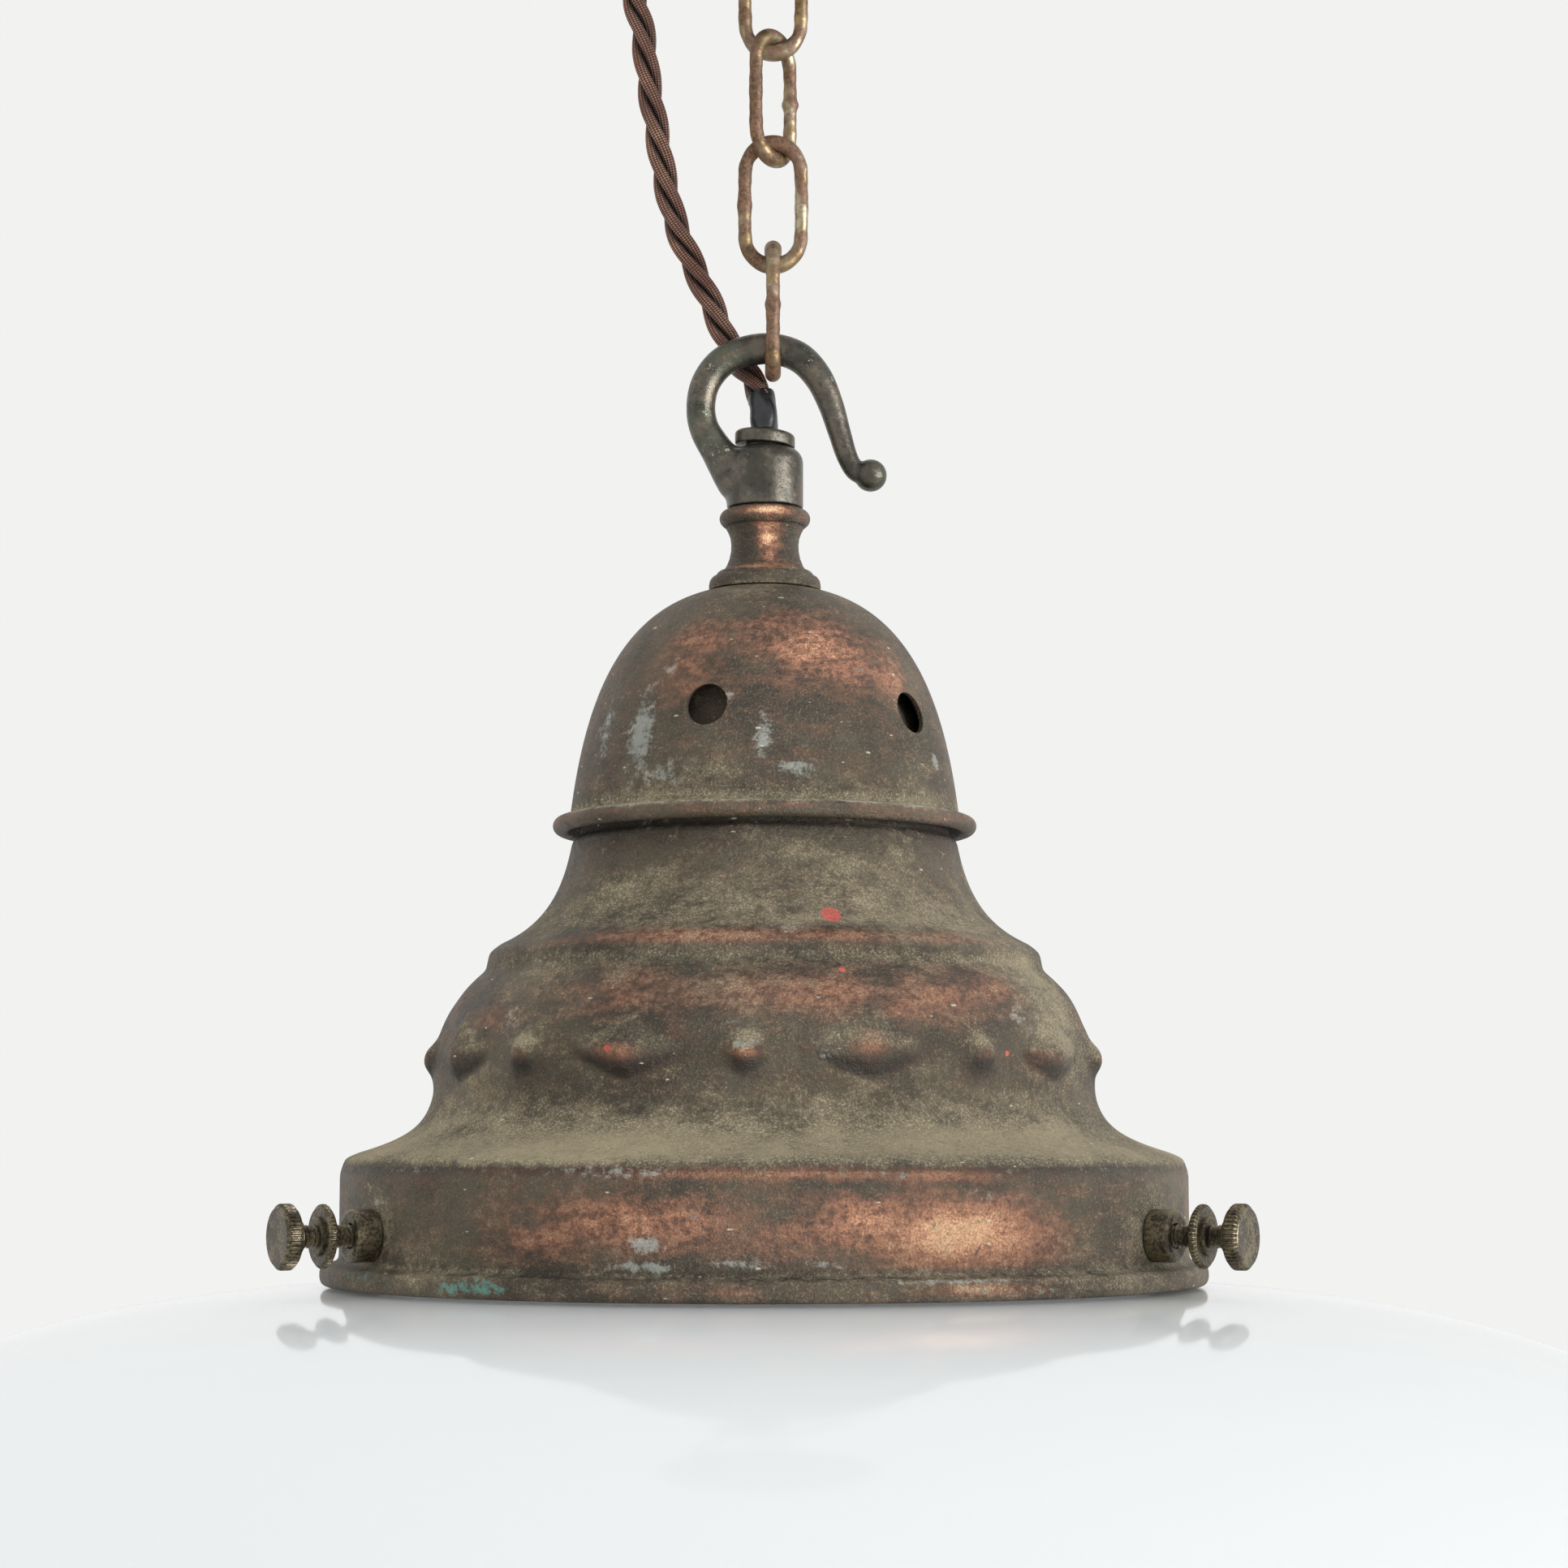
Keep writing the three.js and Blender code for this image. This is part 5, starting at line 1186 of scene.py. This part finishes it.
def rusted_steel():
    """Brassed steel chain, its plating mostly gone: grey and tan metal that still glints, under a
    pinkish brown rust in long smears and pits."""
    material, tree = new_material("rusted_steel")
    place = own_place(tree)
    smear, other, grain = each(
        tree, *NOISE, (place, 330.0, 5.0, 0.6), (place, 130.0, 3.0, 0.6), (place, 1700.0, 4.0, 0.7))
    base = coats(tree, "#8d7a5c", ("#b5ab93", 0.42, 0.58, 1.0, smear), ("#a8894f", 0.48, 0.58, 0.7, other))
    rust = coats(tree, "#463225", ("#856048", 0.38, 0.62, 1.0, grain, (smear, 0.6)))
    base, cover = laid(tree, base, rust, 0.34, 0.56, 0.92, smear, (grain, 0.3), (other, 1.2))
    metallic, rough = (
        add(tree, "ShaderNodeMath", {0: cover, 1: gain, 2: start}, operation="MULTIPLY_ADD")
        for gain, start in ((-0.6, 0.85), (0.25, 0.36)))
    finished(tree, (grain, 0.0003, 0.35), base_color=base, metallic=metallic, roughness=rough)
    return material


def plain_metal(name, dark, light, metallic, roughness):
    """A turned metal: two tones in soft clouds over a fine grain."""
    material, tree = new_material(name)
    place = lamp_place(tree)
    cloud, grain = each(tree, *NOISE, (place, 260.0, 6.0, 0.65), (place, 1900.0, 2.0, 0.6))
    base = coats(tree, dark, (light, 0.38, 0.64, 1.0, cloud, (grain, 0.8)))
    finished(tree, (grain, 0.0003, 0.3), base_color=base, metallic=metallic,
             roughness=swung(tree, roughness, (cloud, 0.4)))
    return material


def braided_cotton():
    """Cotton braid over each core: yarns cross in a fine diamond, red-brown, with tan glints where
    single threads catch the light, and near-black painted shade in the grooves between the cores. One diamond
    is 0.9 mm long."""
    material, tree = new_material("braided_cotton")
    split = add(tree, "ShaderNodeSeparateXYZ", {0: add(tree, "ShaderNodeUVMap", uv_map="lay")})
    along, around = (
        add(tree, "ShaderNodeMath", {0: (split, axis), 1: FULL_TURN * turns}, operation="MULTIPLY")
        for axis, turns in ((0, 1 / BRAID_DIAMOND), (1, BRAID_YARNS)))
    crossed = [add(tree, "ShaderNodeMath", {0: along, 1: around}, operation=way) for way in ("ADD", "SUBTRACT")]
    first, second = (add(tree, "ShaderNodeMath", {0: yarn}, operation="SINE") for yarn in crossed)
    weave = add(tree, "ShaderNodeMath", {0: first, 1: second}, operation="MULTIPLY")
    place = own_place(tree)
    fuzz, patch = each(tree, *NOISE, (place, 1300.0, 3.0, 0.6), (place, 160.0, 2.0, 0.6))
    groove_shade = (add(tree, "ShaderNodeAttribute", attribute_name="groove_shade"), "Fac")
    # The last coat, near black, is painted shade in the grooves between the cores
    yarn = coats(
        tree, "#4a2b21", ("#8e5c4a", -0.6, 0.6, 1.0, weave),
        ("#d6a683", 0.45, 0.9, 0.85, weave, (fuzz, 1.2), (patch, 2.4)), ("#1d0e0a", 0.15, 0.85, 0.88, groove_shade))
    finished(tree, (weave, 0.0003, 0.8), base_color=yarn, roughness=0.6, specular_ior_level=0.5)
    return material


def smooth_black(name, roughness):
    """Black plastic with a faint unevenness: shrink sleeve when glossy, a moulding when dull."""
    material, tree = new_material(name)
    wave, = each(tree, *NOISE, (own_place(tree), 420.0, 2.0, 0.6))
    tone = coats(tree, "#17181b", ("#2a2b2e", 0.3, 0.7, 1.0, wave))
    finished(tree, (wave, 0.0004, 0.25), base_color=tone, roughness=roughness)
    return material


def opal_glass(name, colour, gloss, shine):
    """Blown opal glass: milk white right through, very faintly blue, with a clear fire-polished skin
    whose slow waves bend reflections a little."""
    material, tree = new_material(name)
    wave, = each(tree, *NOISE, (lamp_place(tree), 14.0, 1.0, 0.6))
    finished(tree, (wave, 0.002, 0.06), base_color=linear(colour), roughness=gloss, specular_ior_level=shine,
             subsurface_weight=0.6, subsurface_radius=(1.0, 1.0, 1.0), subsurface_scale=0.012)
    return material


def porcelain():
    """Glazed electrical porcelain, cream white."""
    material, tree = new_material("porcelain")
    cloud, = each(tree, *NOISE, (lamp_place(tree), 200.0, 3.0, 0.6))
    finished(tree, base_color=coats(tree, "#e0d9c9", ("#efe9dc", 0.35, 0.65, 1.0, cloud)), roughness=0.25)
    return material


# Room

def make_room():
    """A pale floor well below the lamp, an even pale sky that mirrors and the camera also see, and a
    large soft lamp from the front right, whose glint on metal is a lamp of its own that diffuse
    surfaces don't see, with a weaker one from the left."""
    scene = bpy.context.scene
    scene.view_settings.view_transform = "Standard"
    world = bpy.data.worlds.new("studio")
    world.use_nodes = True
    scene.world = world
    tree = world.node_tree
    tree.nodes.clear()
    ray = add(tree, "ShaderNodeLightPath")
    seen = (ray, "Is Camera Ray")
    for kind in ("Is Glossy Ray", "Is Transmission Ray"):
        seen = add(tree, "ShaderNodeMath", {0: seen, 1: (ray, kind)}, operation="MAXIMUM")
    light, shown = each(
        tree, "ShaderNodeBackground", ("Color", "Strength"), (linear("#f1f3f4"), 1.0), (linear("#f2f2f1"), 1.0))
    add(tree, "ShaderNodeOutputWorld", {0: add(tree, "ShaderNodeMixShader", {0: seen, 1: light, 2: shown})})

    for name, place, size, power in (
            ("key", KEY_PLACE, 1.1, 11.0), ("glint", KEY_PLACE, 1.1, 65.0),
            ("fill", (-1.0, -0.5, 0.1), 0.9, 0.6)):
        data = bpy.data.lights.new(name, "AREA")
        data.shape, data.size, data.energy = "DISK", size, power
        lamp = bpy.data.objects.new(name, data)
        lamp.location = place
        lamp.visible_diffuse = name != "glint"
        x, y, z = np.array([0, 0, LAMP_MIDDLE]) - np.array(place)
        lamp.rotation_euler = (math.atan2(math.hypot(x, y), -z), 0, math.atan2(-x, y))
        scene.collection.objects.link(lamp)

    material, tree = new_material("floor_paint")
    cloud = add(tree, "ShaderNodeTexNoise", {"Vector": own_place(tree), "Scale": 3.0})
    base = add(tree, "ShaderNodeMix", {0: cloud, 6: linear("#e9e9e7"), 7: linear("#eeeeec")}, data_type="RGBA")
    finished(tree, base_color=(base, 2), roughness=0.85)
    mesh = bpy.data.meshes.new("floor")
    corners = np.array([(-1, -1, 0), (1, -1, 0), (1, 1, 0), (-1, 1, 0)]) * FLOOR_SIZE + (0, 0, FLOOR_HEIGHT)
    mesh.from_pydata(corners.tolist(), [], [(0, 1, 2, 3)])
    mesh.materials.append(material)
    floor = bpy.data.objects.new("floor", mesh)
    scene.collection.objects.link(floor)


make_camera()
make_flex(braided_cotton())
make_sleeve(smooth_black("black_sleeve", 0.3))

copper = patinated_copper()
bronze = cast_bronze()
brass = plain_metal("turned_brass", "#6d5530", "#a58550", 0.85, 0.4)
screw_metal = plain_metal("dark_screw_metal", "#443d31", "#7b7058", 0.6, 0.42)
make_chain(rusted_steel())
make_ceiling(copper, bronze, brass, smooth_black("black_moulding", 0.5))
make_hook(bronze)
make_bush(bronze)
make_neck(copper)
make_cap(copper)
make_gallery(copper)
make_screws(screw_metal)
make_shade(opal_glass("opal_glass", "#f2f5f6", 0.1, 0.22))
make_holder(brass, opal_glass("pearl_bulb_glass", "#f4f3ee", 0.35, 0.5))

inner_finish = {
    "ceiling_hook_nut": brass, "threaded_nipple": brass, "cap_spacer": brass, "gallery_washer": brass,
    "gallery_nut": brass, "contact_plunger_1": brass, "contact_plunger_2": brass,
    "terminal_block": porcelain(), "flex_inner": smooth_black("inner_flex", 0.6),
}
for name, finish in inner_finish.items():
    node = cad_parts[name]
    node.data.materials.clear()
    node.data.materials.append(finish)

make_room()
